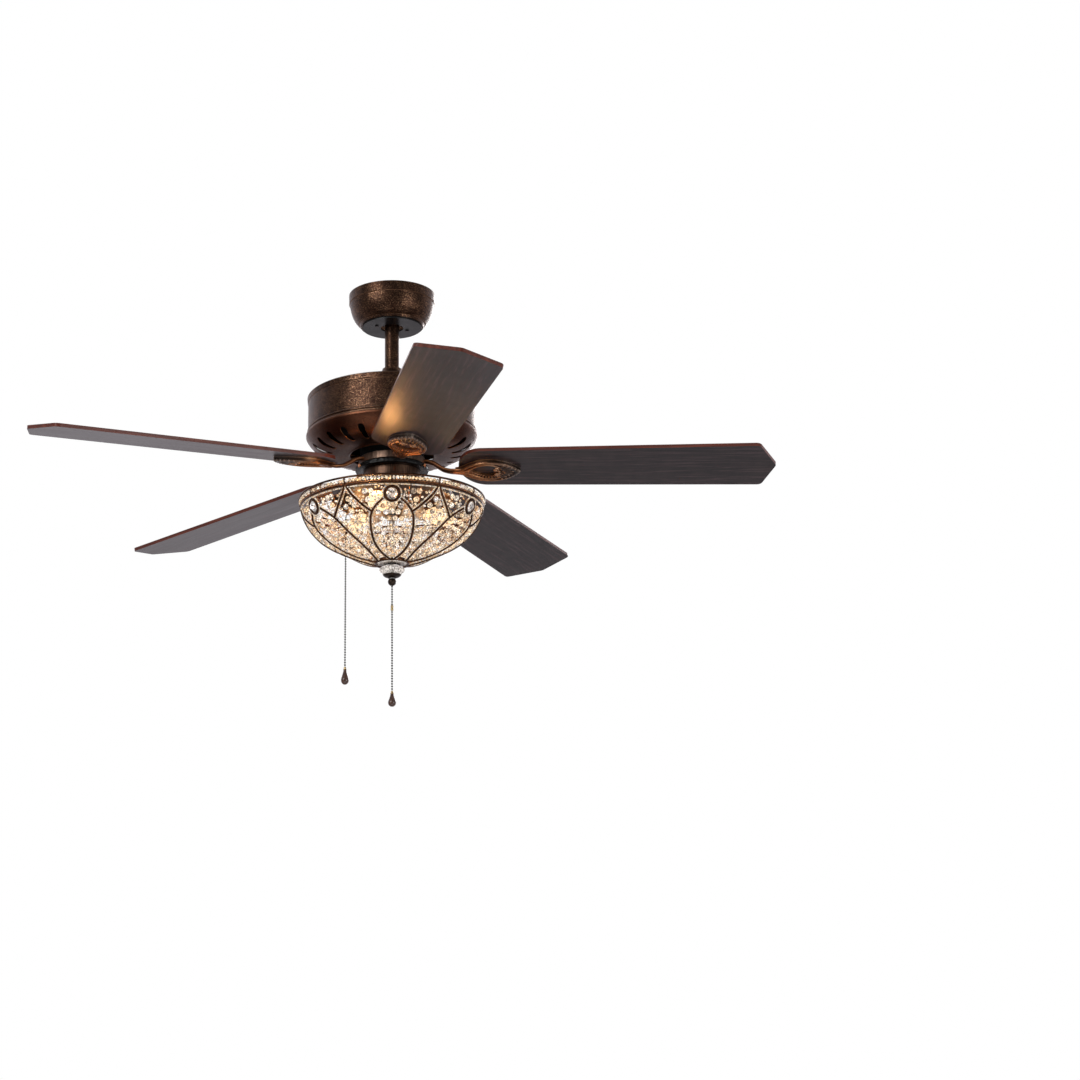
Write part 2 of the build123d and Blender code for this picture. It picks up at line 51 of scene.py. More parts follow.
TAU = 2 * math.pi

BLADES = ("front", "right", "back_right", "back_left", "left")
AZIMUTHS = [-81.13 + 72 * i for i in range(5)]
LAMPS = (-107.0, 13.0, 133.0)
PETALS = [-90.0 + 60 * i for i in range(6)]


# ---- placing ------------------------------------------------------------------------------------

def turn(axis, degrees):
    return Matrix.Rotation(math.radians(degrees), 4, axis)


def move(x, y, z):
    return Matrix.Translation((x, y, z))


def grow(x, y=None, z=None):
    return Matrix.Diagonal((x, x if y is None else y, x if z is None else z, 1))


def blade_plane(azimuth):
    """Local X runs out along the blade, and local Z is 0 on its lower face."""
    return turn("Z", azimuth) @ move(0, 0, -323.2) @ turn("Y", 2.29) @ turn("X", -10.94)


def facing(place, normal, spin=0.0):
    """A matrix at place whose Z is along normal."""
    z = Vector(normal).normalized()
    x = z.orthogonal().normalized()
    y = z.cross(x)
    m = Matrix((x, y, z)).transposed().to_4x4()
    return Matrix.Translation(place) @ m @ turn("Z", spin)


# ---- shapes: each is (points, faces) ------------------------------------------------------------

class Soup:
    """Closed shapes gathered into one mesh."""

    def __init__(self):
        self.points, self.faces, self.count = [], [], 0

    def add(self, shape, place=None):
        points = np.asarray(shape[0], float)
        if place is not None:
            m = np.array(place, float)
            points = points @ m[:3, :3].T + m[:3, 3]
        self.points.append(points)
        n = self.count
        self.faces.extend([tuple(i + n for i in f) for f in shape[1]])
        self.count += len(points)
        return self

    def build(self, name, material, body, replaces=(), slot=None, smooth=True, crease=40.0):
        mesh = bpy.data.meshes.new(name)
        mesh.from_pydata((np.vstack(self.points) * 0.001).tolist(), [], self.faces)
        mesh.materials.append(material)
        mesh.validate()
        work = bmesh.new()
        work.from_mesh(mesh)
        bmesh.ops.recalc_face_normals(work, faces=work.faces)
        work.to_mesh(mesh)
        work.free()
        if smooth:
            mesh.polygons.foreach_set("use_smooth", [True] * len(mesh.polygons))
            mesh.set_sharp_from_angle(angle=math.radians(crease))
        mesh.update()
        obj = bpy.data.objects.new(name, mesh)
        bpy.context.scene.collection.objects.link(obj)
        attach(obj, body)
        if replaces:
            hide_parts(*replaces)
        return obj


def spline(points, steps=8, closed=False):
    """Points on a smooth curve through the given ones."""
    p = [np.asarray(q, float) for q in points]
    n = len(p)
    out = []
    for i in range(n if closed else n - 1):
        if closed:
            a, b, c, d = p[i - 1], p[i], p[(i + 1) % n], p[(i + 2) % n]
        else:
            b, c = p[i], p[i + 1]
            a = p[i - 1] if i else 2 * b - c
            d = p[i + 2] if i + 2 < n else 2 * c - b
        for s in range(steps):
            t = s / steps
            out.append(0.5 * (2 * b + (c - a) * t + (2 * a - 5 * b + 4 * c - d) * t * t
                              + (3 * b - a - 3 * c + d) * t ** 3))
    if not closed:
        out.append(p[-1])
    return np.array(out)


def evenly(points, pitch, closed=False, ends=True):
    """The same line, at points an even distance apart."""
    p = np.asarray(points, float)
    if closed:
        p = np.vstack([p, p[:1]])
    run = np.concatenate([[0], np.cumsum(np.linalg.norm(np.diff(p, axis=0), axis=1))])
    count = max(1, round(run[-1] / pitch))
    marks = np.linspace(0, run[-1], count + 1)
    if closed:
        marks = marks[:-1]
    elif not ends:
        marks = (marks[:-1] + marks[1:]) / 2
    return np.stack([np.interp(marks, run, p[:, k]) for k in range(p.shape[1])], axis=1)


def lathe(outline, sides=64, loop=False, shape=None):
    """A turned solid. outline runs down from axis to axis, or round a ring if loop is set.

    shape(angle, r, z) gives a new r.
    """
    points, rings = [], []
    for r, z in outline:
        if r < 1e-6:
            rings.append([len(points)])
            points.append((0, 0, z))
            continue
        ring = []
        for i in range(sides):
            a = TAU * i / sides
            q = shape(a, r, z) if shape else r
            ring.append(len(points))
            points.append((q * math.cos(a), q * math.sin(a), z))
        rings.append(ring)
    faces = []
    pairs = list(zip(rings, rings[1:]))
    if loop:
        pairs.append((rings[-1], rings[0]))
    for up, low in pairs:
        for i in range(sides):
            j = (i + 1) % sides
            if len(up) == 1 and len(low) == 1:
                continue
            if len(up) == 1:
                faces.append((up[0], low[i], low[j]))
            elif len(low) == 1:
                faces.append((up[i], low[0], up[j]))
            else:
                faces.append((up[i], low[i], low[j], up[j]))
    return points, faces


def rod(path, radius, sides=10, closed=False, flat=1.0, up=None):
    """A tube along path. radius is one number or one for each point. flat squeezes it along up."""
    p = np.asarray(path, float)
    n = len(p)
    radii = np.full(n, radius) if np.isscalar(radius) else np.asarray(radius, float)
    if closed:
        tangents = np.roll(p, -1, 0) - np.roll(p, 1, 0)
    else:
        tangents = np.gradient(p, axis=0)
    tangents = tangents / np.linalg.norm(tangents, axis=1)[:, None]
    side = np.cross(tangents[0], up if up is not None else (0.31, 0.17, 0.93))
    side /= np.linalg.norm(side)
    points = []
    for i in range(n):
        t = tangents[i]
        if up is not None:
            side = np.cross(t, up)
        side = side - t * (side @ t)
        side /= np.linalg.norm(side)
        other = np.cross(side, t)
        for k in range(sides):
            a = TAU * k / sides
            points.append(p[i] + radii[i] * (math.cos(a) * side + flat * math.sin(a) * other))
    faces = []
    for i in range(n if closed else n - 1):
        j = (i + 1) % n
        for k in range(sides):
            m = (k + 1) % sides
            faces.append((i * sides + k, i * sides + m, j * sides + m, j * sides + k))
    if not closed:
        faces.append(tuple(reversed(range(sides))))
        faces.append(tuple((n - 1) * sides + k for k in range(sides)))
    return points, faces


def cut_crystal(r, high, sides=8, table=0.55, girdle=0.16):
    """A flat-faced crystal with a table on each side."""
    return lathe([(0, high), (r * table, high), (r, high * girdle), (r, -high * girdle),
                  (r * table, -high), (0, -high)], sides)


def ball(r, sides=10, rings=6):
    outline = [(r * math.sin(math.pi * i / rings), r * math.cos(math.pi * i / rings))
               for i in range(rings + 1)]
    outline[0], outline[-1] = (0, r), (0, -r)
    return lathe(outline, sides)


# ---- materials ----------------------------------------------------------------------------------

looks = {}


class Paint:
    """A material's node tree, with short ways to add to it. looks keeps each material by name."""

    def __init__(self, name, rough=0.5, metal=0.0, **values):
        self.material = looks[name] = bpy.data.materials.new(name)
        self.material.use_nodes = True
        self.tree = self.material.node_tree
        self.shader = self.tree.nodes["Principled BSDF"]
        self.set(Roughness=rough, Metallic=metal)
        for key, value in values.items():
            self.shader.inputs[key.replace("_", " ")].default_value = value
        self.where = self.tree.nodes.new("ShaderNodeTexCoord").outputs["Object"]

    def set(self, **values):
        for key, value in values.items():
            self.link(value, self.shader.inputs[key.replace("_", " ")])

    def link(self, value, socket):
        if isinstance(value, bpy.types.NodeSocket):
            self.tree.links.new(value, socket)
        else:
            socket.default_value = value

    def add(self, kind, out=0, options=None, **inputs):
        n = self.tree.nodes.new("ShaderNode" + kind)
        for key, value in (options or {}).items():
            setattr(n, key, value)
        for key, value in inputs.items():
            self.link(value, n.inputs[int(key[1:])] if key[0] == "i" and key[1:].isdigit() else n.inputs[key])
        return n.outputs[out]

    def noise(self, scale, detail=3.0, rough=0.55, where=None):
        return self.add("TexNoise", Vector=where or self.where, Scale=scale, Detail=detail, Roughness=rough)

    def stretched(self, x, y, z, turned=None, where=None):
        """Object coordinates times x, y and z, after a turn in degrees about each axis."""
        v = where or self.where
        if turned is not None:
            v = self.add("VectorRotate", options={"rotation_type": "EULER_XYZ"}, Vector=v,
                         Rotation=tuple(math.radians(t) for t in turned))
        return self.add("VectorMath", options={"operation": "MULTIPLY"}, i0=v, i1=(x, y, z))

    def ramp(self, value, *stops):
        n = self.tree.nodes.new("ShaderNodeValToRGB")
        while len(n.color_ramp.elements) < len(stops):
            n.color_ramp.elements.new(0.5)
        for element, (at, colour) in zip(n.color_ramp.elements, stops):
            element.position = at
            element.color = (*colour, 1)
        self.link(value, n.inputs[0])
        return n.outputs[0]

    def span(self, value, low, high, to_low, to_high):
        return self.add("MapRange", i0=value, i1=low, i2=high, i3=to_low, i4=to_high)

    def mix(self, amount, a, b):
        n = self.tree.nodes.new("ShaderNodeMix")
        n.data_type = "RGBA"
        self.link(amount, n.inputs[0])
        for socket, value in ((n.inputs[6], a), (n.inputs[7], b)):
            self.link(value if isinstance(value, bpy.types.NodeSocket) else (*value, 1), socket)
        return n.outputs[2]

    def sum(self, how, a, b=0.0):
        return self.add("Math", options={"operation": how}, i0=a, i1=b)

    def bump(self, height, depth, strength=1.0):
        normal = self.add("Bump", Strength=strength, Distance=depth, Height=height)
        self.link(normal, self.shader.inputs["Normal"])


def speckled(name, dark, mid, fleck, rough, metal=0.75, size=650.0, cover=0.56, lines=()):
    """Dark paint with metallic flecks, with a painted highlight in the fleck colour along lines, each (z,
    half width).
    """
    p = Paint(name, metal=metal)
    fine = p.noise(size, 2.0, 0.6)
    cloud = p.noise(38.0, 4.0, 0.6)
    ground = p.mix(p.span(cloud, 0.35, 0.68, 0.0, 1.0), dark, mid)
    specks = p.ramp(fine, (cover, (0, 0, 0)), (cover + 0.09, (1, 1, 1)))
    amount = p.sum("MULTIPLY", specks, p.span(cloud, 0.3, 0.62, 0.45, 1.0))
    colour = p.mix(amount, ground, fleck)
    pits = p.ramp(p.noise(size * 0.8, 1.0), (0.36, (1, 1, 1)), (0.44, (0, 0, 0)))
    colour = p.mix(p.sum("MULTIPLY", pits, 0.75), colour, tuple(c * 0.35 for c in dark))
    # painted highlight: a thin band in the fleck colour along each line
    if lines:
        z = p.add("SeparateXYZ", out=2, Vector=p.where)
        line_highlight = 0.0
        for at, half in lines:
            away = p.sum("ABSOLUTE", p.sum("SUBTRACT", z, at / 1000))
            near = p.sum("SUBTRACT", 1.0, p.sum("DIVIDE", away, half / 1000))
            line_highlight = p.sum("MAXIMUM", near, line_highlight)
        line_highlight = p.sum("MULTIPLY", p.sum("MAXIMUM", line_highlight, 0.0), p.span(cloud, 0.3, 0.6, 0.08, 0.38))
        colour = p.mix(line_highlight, colour, fleck)
    p.set(Base_Color=colour, Roughness=p.span(fine, 0.3, 0.7, rough + 0.12, rough - 0.08))
    p.bump(fine, 0.0004, 0.5)
    return p.material


def plain_metal(name, colour, rough, metal=1.0, scale=300.0, spread=0.25, depth=0.00008, **values):
    """Metal or enamel with faint mottling, and roughness that varies a little."""
    p = Paint(name, metal=metal, **values)
    n = p.noise(scale, 4.0)
    big = p.noise(scale / 9, 3.0)
    dim = tuple(c * (1 - spread) for c in colour)
    lit = tuple(min(1, c * (1 + spread)) for c in colour)
    p.set(Base_Color=p.mix(p.span(p.sum("ADD", n, big), 0.7, 1.3, 0.0, 1.0), dim, lit),
          Roughness=p.span(big, 0.3, 0.7, rough * 0.8, min(1, rough * 1.25)))
    p.bump(n, depth, 0.6)
    return p.material


def brushed(name, dark, lit, rough, stretch):
    p = Paint(name, metal=0.85)
    streak = p.noise(1.0, 3.0, 0.6, where=p.stretched(*stretch))
    cloud = p.noise(60.0, 3.0)
    colour = p.mix(p.span(streak, 0.35, 0.7, 0.0, 1.0), dark, lit)
    p.set(Base_Color=p.mix(p.span(cloud, 0.4, 0.7, 0.0, 0.6), colour, dark),
          Roughness=p.span(streak, 0.3, 0.7, rough * 0.85, rough * 1.2))
    p.bump(streak, 0.0001, 0.5)
    return p.material


def plastic(name, colour, rough):
    p = Paint(name)
    n = p.noise(900.0, 2.0)
    cloud = p.noise(45.0, 3.0)
    p.set(Base_Color=p.mix(p.span(cloud, 0.35, 0.65, 0.0, 1.0), colour, tuple(c * 0.86 for c in colour)),
          Roughness=p.span(n, 0.3, 0.7, rough * 0.85, rough * 1.15))
    p.bump(n, 0.00005, 0.4)
    return p.material


def blade_wood(name, azimuth):
    """Dark walnut below, mahogany above and on the edge, with its grain along the blade."""
    p = Paint(name, Coat_Weight=0.34, Coat_Roughness=0.25, Specular_IOR_Level=0.16)
    along = p.stretched(1, 1, 1, turned=(0, 0, -azimuth))
    warp = p.noise(7.0, 2.0, where=p.stretched(0.5, 3, 3, where=along))
    drift = p.add("TexNoise", out=1, Vector=p.stretched(2.2, 6, 6, where=along), Scale=1.3, Detail=2.0)
    drift = p.add("VectorMath", options={"operation": "SCALE"}, i0=drift, Scale=0.022)
    bent = p.add("VectorMath", options={"operation": "ADD"}, i0=along, i1=drift)
    grain = p.noise(1.0, 5.0, 0.62, where=p.stretched(7, 240, 240, where=bent))
    pores = p.noise(1.0, 2.0, 0.5, where=p.stretched(28, 1500, 1500, where=along))
    rings = p.add("TexWave", options={"wave_type": "BANDS", "bands_direction": "Y"},
                  Vector=p.stretched(0.35, 1, 1, where=bent), Scale=26.0, Distortion=5.5, Detail=3.0,
                  **{"Detail Scale": 1.4})
    curl = p.noise(1.0, 2.0, where=p.stretched(24, 9, 9, where=bent))
    below = p.ramp(grain, (0.38, (0.0050, 0.0030, 0.0035)), (0.50, (0.0190, 0.0115, 0.0130)),
                   (0.63, (0.056, 0.034, 0.037)))
    below = p.mix(p.span(rings, 0.1, 0.9, 0.0, 0.45), below, (0.0080, 0.0050, 0.0056))
    below = p.mix(p.span(curl, 0.45, 0.72, 0.0, 0.3), below, (0.046, 0.030, 0.028))
    above = p.ramp(grain, (0.28, (0.055, 0.011, 0.006)), (0.55, (0.125, 0.028, 0.016)),
                   (0.78, (0.19, 0.052, 0.028)))
    above = p.mix(p.span(rings, 0.2, 0.95, 0.0, 0.3), above, (0.045, 0.010, 0.006))
    facing_down = p.add("VectorMath", out="Value", options={"operation": "DOT_PRODUCT"},
                        i0=p.add("TexCoord", out="Normal"), i1=(0, 0, -1))
    under = p.span(facing_down, 0.45, 0.55, 0.0, 1.0)
    colour = p.mix(under, above, below)
    colour = p.mix(p.span(pores, 0.28, 0.4, 0.5, 0.0), colour, (0.006, 0.004, 0.004))
    dull = p.sum("ADD", p.span(grain, 0.3, 0.7, 0.36, 0.50), p.span(warp, 0.3, 0.7, 0.0, 0.05))
    p.set(Base_Color=colour, Roughness=dull)
    p.bump(p.sum("ADD", grain, pores), 0.00009, 0.35)
    return p.material


def crystal(name, see_through, rough, painted_glow, stops, painted_sparkle):
    """Cut glass: each stone has its own tint, each facet a painted shade, and the brightest facets a painted
    sparkle over a faint painted glow.
    """
    p = Paint(name, rough=rough, IOR=1.52)
    chance = p.add("NewGeometry", out="Random Per Island")
    facet = p.add("TexWhiteNoise", options={"noise_dimensions": "4D"}, W=chance,
                  Vector=p.add("NewGeometry", out="True Normal"))
    haze = p.noise(420.0, 2.0)
    tint = p.mix(p.span(haze, 0.4, 0.75, 0.0, 0.2), p.ramp(chance, *stops), (1.0, 0.95, 0.88))
    # painted shade: each facet lighter or darker at random, as if catching more or less light
    shade = p.ramp(facet, (0.10, (0.92, 0.92, 0.92)), (0.34, (0.42, 0.42, 0.42)), (0.62, (0.0, 0.0, 0.0)))
    tint = p.mix(shade, tint, (0.055, 0.034, 0.022))
    # painted sparkle: the brightest facets glow, and every crystal adds a warm painted glow
    flash = p.sum("MULTIPLY", p.sum("POWER", facet, 5.0), painted_sparkle)
    p.set(Base_Color=tint, Transmission_Weight=see_through,
          Emission_Color=p.mix(0.5, tint, (1.0, 0.80, 0.56)), Emission_Strength=p.sum("ADD", flash, painted_glow))
    p.bump(haze, 0.00012, 0.4)
    return p.material


def wood(name, dark, lit):
    p = Paint(name, Coat_Weight=0.5, Coat_Roughness=0.12)
    grain = p.noise(1.0, 4.0, 0.6, where=p.stretched(420, 420, 60))
    p.set(Base_Color=p.ramp(grain, (0.32, dark), (0.7, lit)),
          Roughness=p.span(grain, 0.3, 0.7, 0.28, 0.40))
    p.bump(grain, 0.00008, 0.4)
    return p.material


COPPER = (0.60, 0.235, 0.095)
BLACK = (0.003, 0.003, 0.003)
# the housing's bead lines, each with a painted highlight: (z, half width)
BEAD_LINE_HIGHLIGHTS = ((-17.7, 1.0), (-54.0, 1.4), (-196.2, 0.9), (-206.0, 0.8), (-256.6, 0.9), (-261.8, 0.9))
brushed("zinc_steel", (0.36, 0.36, 0.35), (0.62, 0.62, 0.60), 0.33, (900, 900, 60))
plastic("nylon", (0.022, 0.022, 0.024), 0.45)
speckled("speckled_bronze", (0.016, 0.0066, 0.0042), (0.050, 0.0215, 0.0125), (0.34, 0.190, 0.108), 0.32,
         0.92, size=800.0, cover=0.545, lines=BEAD_LINE_HIGHLIGHTS)
# a painted highlight along the lower housing's rim at z -265.5
speckled("smooth_bronze", (0.050, 0.0175, 0.0095), (0.105, 0.039, 0.020), (0.24, 0.100, 0.048), 0.30, 0.95,
         size=1100.0, cover=0.60, lines=((-265.5, 1.4),))
plain_metal("black_enamel", (0.010, 0.010, 0.011), 0.32, 0.3)
plain_metal("dark_screw", (0.06, 0.05, 0.05), 0.35)
plain_metal("brass_screw", (0.56, 0.38, 0.16), 0.3)
plain_metal("copper_screw", COPPER, 0.25)
brushed("lamination", (0.10, 0.10, 0.11), (0.20, 0.20, 0.22), 0.45, (60, 60, 2600))
brushed("copper", (0.30, 0.09, 0.03), (0.62, 0.22, 0.08), 0.3, (500, 500, 900))
plain_metal("cast_aluminium", (0.42, 0.42, 0.43), 0.5, scale=700.0, depth=0.0002)
# near black with little shine: partly the rotor's black paint, partly painted shade for the shadow inside the
# housing
plain_metal("rotor_black", BLACK, 0.6, 0.0, scale=600.0, depth=0.0002, Specular_IOR_Level=0.08)
plain_metal("bearing_steel", (0.62, 0.62, 0.63), 0.16, spread=0.08)
brushed("cup_bronze", (0.040, 0.021, 0.014), (0.17, 0.092, 0.056), 0.36, (520, 520, 45))
plastic("capacitor_case", (0.016, 0.016, 0.018), 0.35)
plastic("switch_case", (0.020, 0.018, 0.017), 0.5)
plastic("slider_white", (0.62, 0.61, 0.57), 0.3)
speckled("pan_bronze", (0.024, 0.013, 0.009), (0.048, 0.026, 0.017), (0.16, 0.085, 0.045), 0.45, 0.7,
         size=900.0)
plastic("socket_white", (0.72, 0.66, 0.54), 0.3)
plain_metal("lamp_brass", (0.70, 0.50, 0.22), 0.25)
speckled("finial_bronze", (0.016, 0.0105, 0.008), (0.040, 0.026, 0.019), (0.17, 0.105, 0.062), 0.3, 0.85,
         size=1000.0, cover=0.60)
plain_metal("chain_bronze", (0.014, 0.011, 0.009), 0.42, 0.3, scale=900.0, Specular_IOR_Level=0.3)
plain_metal("connector_brass", (0.45, 0.33, 0.16), 0.28)
wood("fob_wood", (0.020, 0.007, 0.004), (0.095, 0.034, 0.016))

# the irons: copper near the hub, darker outwards, with ridges brightened by a painted highlight that also
# stands for wear, copper inwards and silvery at the points
p = Paint("iron_copper", metal=0.9)
reach = p.add("VectorMath", out="Value", options={"operation": "LENGTH"}, i0=p.stretched(1, 1, 0))
cloud = p.noise(130.0, 4.0)
fine = p.noise(900.0, 3.0)
outward = p.span(p.sum("ADD", reach, p.span(cloud, 0.3, 0.7, -0.012, 0.012)), 0.060, 0.222, 0.0, 1.0)
ground = p.ramp(outward, (0.0, (0.30, 0.115, 0.048)), (0.42, (0.20, 0.078, 0.034)),
                (0.75, (0.045, 0.022, 0.014)), (1.0, (0.016, 0.011, 0.009)))
rubbed_and_highlit = p.ramp(outward, (0.0, (0.78, 0.34, 0.15)), (0.70, (0.72, 0.36, 0.17)), (1.0, (0.46, 0.36, 0.30)))
pointed = p.add("NewGeometry", out="Pointiness")
# painted highlight on the sharp ridges, partly also rubbed wear
edge = p.span(pointed, 0.52, 0.60, 0.0, 1.0)
colour = p.mix(p.sum("MULTIPLY", edge, p.span(cloud, 0.25, 0.6, 0.4, 1.0)), ground, rubbed_and_highlit)
hollow = p.span(pointed, 0.44, 0.49, 1.0, 0.0)
colour = p.mix(p.sum("MULTIPLY", hollow, 0.85), colour, (0.008, 0.005, 0.004))
p.set(Base_Color=colour, Roughness=p.span(fine, 0.3, 0.7, 0.24, 0.42))
p.bump(fine, 0.00025, 0.5)

speckled("frame_bronze", (0.026, 0.0105, 0.0060), (0.070, 0.029, 0.0145), (0.34, 0.150, 0.070), 0.30, 0.95,
         size=800.0, cover=0.55)
SMOKE = (0.14, 0.08, 0.045)
BEAD_STOPS = ((0.0, (1.0, 0.95, 0.87)), (0.28, (0.98, 0.84, 0.62)), (0.46, (0.95, 0.70, 0.40)),
              (0.60, (0.70, 0.42, 0.20)), (0.68, (1.0, 0.97, 0.93)), (0.84, (0.94, 0.93, 0.95)),
              (0.89, SMOKE), (0.94, SMOKE), (1.0, (0.95, 0.84, 0.66)))
CLEAR_STOPS = ((0.0, (0.94, 0.95, 0.98)), (1.0, (1.0, 0.98, 0.96)))
crystal("strung_crystal", 0.36, 0.05, 0.03, BEAD_STOPS, painted_sparkle=1.3)
pearl = crystal("pearl_crystal", 0.2, 0.15, 0.06, BEAD_STOPS, painted_sparkle=0.7)
crystal("clear_crystal", 0.75, 0.03, 0.04, CLEAR_STOPS, painted_sparkle=0.5)

p = Paint("lamp_glass", rough=0.35, Emission_Strength=0.85)
frost = p.noise(90.0, 2.0)
p.set(Base_Color=p.mix(p.span(frost, 0.3, 0.7, 0.0, 1.0), (1.0, 0.88, 0.66), (1.0, 0.80, 0.52)),
      Emission_Color=p.mix(p.span(frost, 0.3, 0.7, 0.0, 1.0), (1.0, 0.82, 0.54), (1.0, 0.74, 0.42)))

slot_of = {s["node"]: s["material_slot"] for s in frame["record"]["subparts"]}
for name, obj in nodes.items():
    if slot_of[name] == "blade_wood":
        i = BLADES.index(name[len("blade_"):])
        look = blade_wood(f"wood_{BLADES[i]}", AZIMUTHS[i])
    else:
        look = looks[slot_of[name]]
    obj.data.materials.clear()
    obj.data.materials.append(look)
copper_edge = plain_metal("copper_edge", (0.34, 0.150, 0.066), 0.3)
# painted highlight: a bronze lighter than the housing's, for the vents' lit edges
lip_highlight_bronze = plain_metal("lip_highlight_bronze", (0.20, 0.085, 0.040), 0.3)


# ---- pull chains: the route's spline carries every bead -----------------------------------------

def route_points(name, points):
    """Points read from the smooth spline whose control points are given, in metres."""
    curve = bpy.data.curves.new(name, "CURVE")
    curve.dimensions = "3D"
    line = curve.splines.new("NURBS")
    line.points.add(len(points) - 1)
    for point, co in zip(line.points, points):
        point.co = (*co, 1)
    line.order_u = 3
    line.use_endpoint_u = True
    obj = bpy.data.objects.new(name, curve)
    bpy.context.scene.collection.objects.link(obj)
    bpy.context.view_layer.update()
    mesh = bpy.data.meshes.new_from_object(obj)
    found = [tuple(v.co) for v in mesh.vertices]
    bpy.data.objects.remove(obj)
    return found


def bead_chain(name, x, y, levels, body, node, pitch=4.5):
    path = route_points(name + "_route", [(x / 1000, y / 1000, z / 1000) for z in levels])
    marks = evenly(np.array(path) * 1000, pitch)
    chain = Soup()
    bead = ball(1.7, 10, 6)
    for point in marks:
        chain.add(bead, Matrix.Translation(point))
    for a, b in zip(marks, marks[1:]):
        chain.add(rod([a, (a + b) / 2, b], 0.30, 6))
    return chain.build(name, looks["chain_bronze"], body, [node], "chain_bronze"), path


def fob(name, x, y, top, length, body, node):
    """A turned drop with a metal ferrule, on the end of its chain."""
    outline = spline([(1.5, 0), (2.5, -0.14), (3.5, -0.31), (5.4, -0.52), (6.75, -0.70), (6.1, -0.86),
                      (3.4, -0.97), (1.2, -0.998)], 5)
    outline = [(r, top + t * length) for r, t in outline]
    drop = Soup().add(lathe([(0, top)] + outline + [(0, top - length)], 28), move(x, y, 0))
    obj = drop.build(name, looks["fob_wood"], body, [node], "fob_wood")
    ferrule = lathe([(0, 1.6), (1.5, 1.4), (1.95, 0.6), (1.95, -1.6), (2.9, -2.6), (2.9, -3.4),
                     (0, -3.4)], 24)
    cap = Soup().add(ferrule, move(x, y, top))
    cap = cap.build(name + "_ferrule", looks["connector_brass"], body, slot="connector_brass")
    return obj, cap


FAN_CHAIN, FAN_FOB_TOP = (-81, 40), -668.6
LIGHT_CHAIN, LIGHT_FOB_TOP = (0, 0), -719.0
fan_fob, fan_cap = fob("fan_fob_turned", *FAN_CHAIN, FAN_FOB_TOP, 29.8, "fan_pull", "fan_fob")
light_fob, light_cap = fob("light_fob_turned", *LIGHT_CHAIN, LIGHT_FOB_TOP, 26.0, "light_pull", "light_fob")
fan_chain, fan_path = bead_chain("fan_bead_chain", *FAN_CHAIN, (-385.0, -455.0, -560.0, FAN_FOB_TOP),
                                 "fan_pull", "fan_chain")
light_chain, light_path = bead_chain("light_bead_chain", *LIGHT_CHAIN,
                                     (-356.0, -440.0, -560.0, LIGHT_FOB_TOP), "light_pull", "light_chain")
coupling = lathe([(1.5, -568.4), (2.1, -568.6), (2.4, -569.4), (2.4, -571.6), (2.0, -572.4), (2.0, -573.6),
                  (2.4, -574.4), (2.4, -576.6), (2.1, -577.4), (1.5, -577.6)], 20, loop=True)
connector = Soup().add(coupling).build("chain_coupling", looks["connector_brass"], "light_pull",
                                       ["chain_connector"], "connector_brass")


# ---- blade irons --------------------------------------------------------------------------------

ARM = ((50, -312.8), (62, -313.2), (72, -316.4), (82, -323), (92, -329.3), (104, -332.6), (118, -333.4),
       (136, -334.2))
LEAF = ((112, 5), (122, 8.5), (138, 21), (154, 30), (170, 33), (186, 31.5), (202, 24.5), (216, 13), (226, 0))
WINDOW = ((139.5, 0), (147, 10.5), (158, 17.5), (168, 19), (178, 15.5), (187, 0))
LEAF_CENTRE = (163, 0)
# the moulding's section: (share of the way in from the leaf's outline to its opening, local z)
MOULDING = ((0.0, -0.3), (0.0, -3.2), (0.0, -6.0), (0.03, -7.8), (0.09, -8.8), (0.17, -9.0), (0.25, -8.4),
            (0.31, -7.0), (0.35, -6.5), (0.40, -7.1), (0.47, -8.3), (0.55, -8.6), (0.62, -8.1), (0.68, -7.0),
            (0.75, -6.3), (0.84, -5.7), (0.92, -5.2), (0.98, -4.4), (1.0, -3.4), (1.0, -0.3))
RIBS = 27
RIBS_START = 0.56
RIB_DEPTH = 2.7
# the arm's ridges on each side: (offset, radius, the points that carry them round the opening)
RIDGES = ((5.6, 2.45, ((124, 8.0, -6.7), (136, 17.6, -6.8), (150, 26.4, -7.2), (164, 30.2, -7.5),
                       (178, 30.0, -7.7), (192, 26.4, -7.8), (203, 20.6, -7.8))),
          (1.95, 2.85, ((125, 3.4, -7.0), (135, 7.6, -6.9), (146, 16.4, -7.0), (157, 22.8, -7.2),
                        (168, 25.2, -7.4), (180, 23.2, -7.6), (189, 17.0, -7.6))))
# the point's lobes (x, y, half length, half width, lean) and beads (x, y, radius)
LOBES = ((195.0, 17.6, 8.6, 2.9, 34), (199.5, 11.6, 9.4, 2.8, 24), (204.5, 6.4, 9.6, 2.6, 14))
POINT_BEADS = ((191.0, 26.0, 2.9), (198.0, 23.3, 3.1), (205.0, 19.0, 3.1), (211.4, 14.0, 2.9),
               (217.0, 8.8, 2.7), (221.4, 4.0, 2.4))
FOOT = ((40.2, -306.2), (57.2, -306.2), (58.0, -307.0), (58.0, -318.4), (56.9, -319.5), (41.2, -319.5),
        (40.2, -318.6))


def bearings(outline, count, centre):
    """Where a closed outline is cut by each bearing from centre."""
    loop = np.array(list(outline) + [outline[0]], float) - np.array(centre, float)
    found = []
    for i in range(count):
        a = TAU * (i + 0.5) / count
        d = np.array((math.cos(a), math.sin(a)))
        best = 0.0
        for p0, p1 in zip(loop, loop[1:]):
            e = p1 - p0
            det = e[0] * d[1] - d[0] * e[1]
            if abs(det) < 1e-12:
                continue
            t = (e[0] * p0[1] - e[1] * p0[0]) / det
            u = (d[0] * p0[1] - d[1] * p0[0]) / det
            if -1e-9 <= u <= 1 + 1e-9:
                best = max(best, t)
        found.append(d * best + centre)
    return np.array(found)


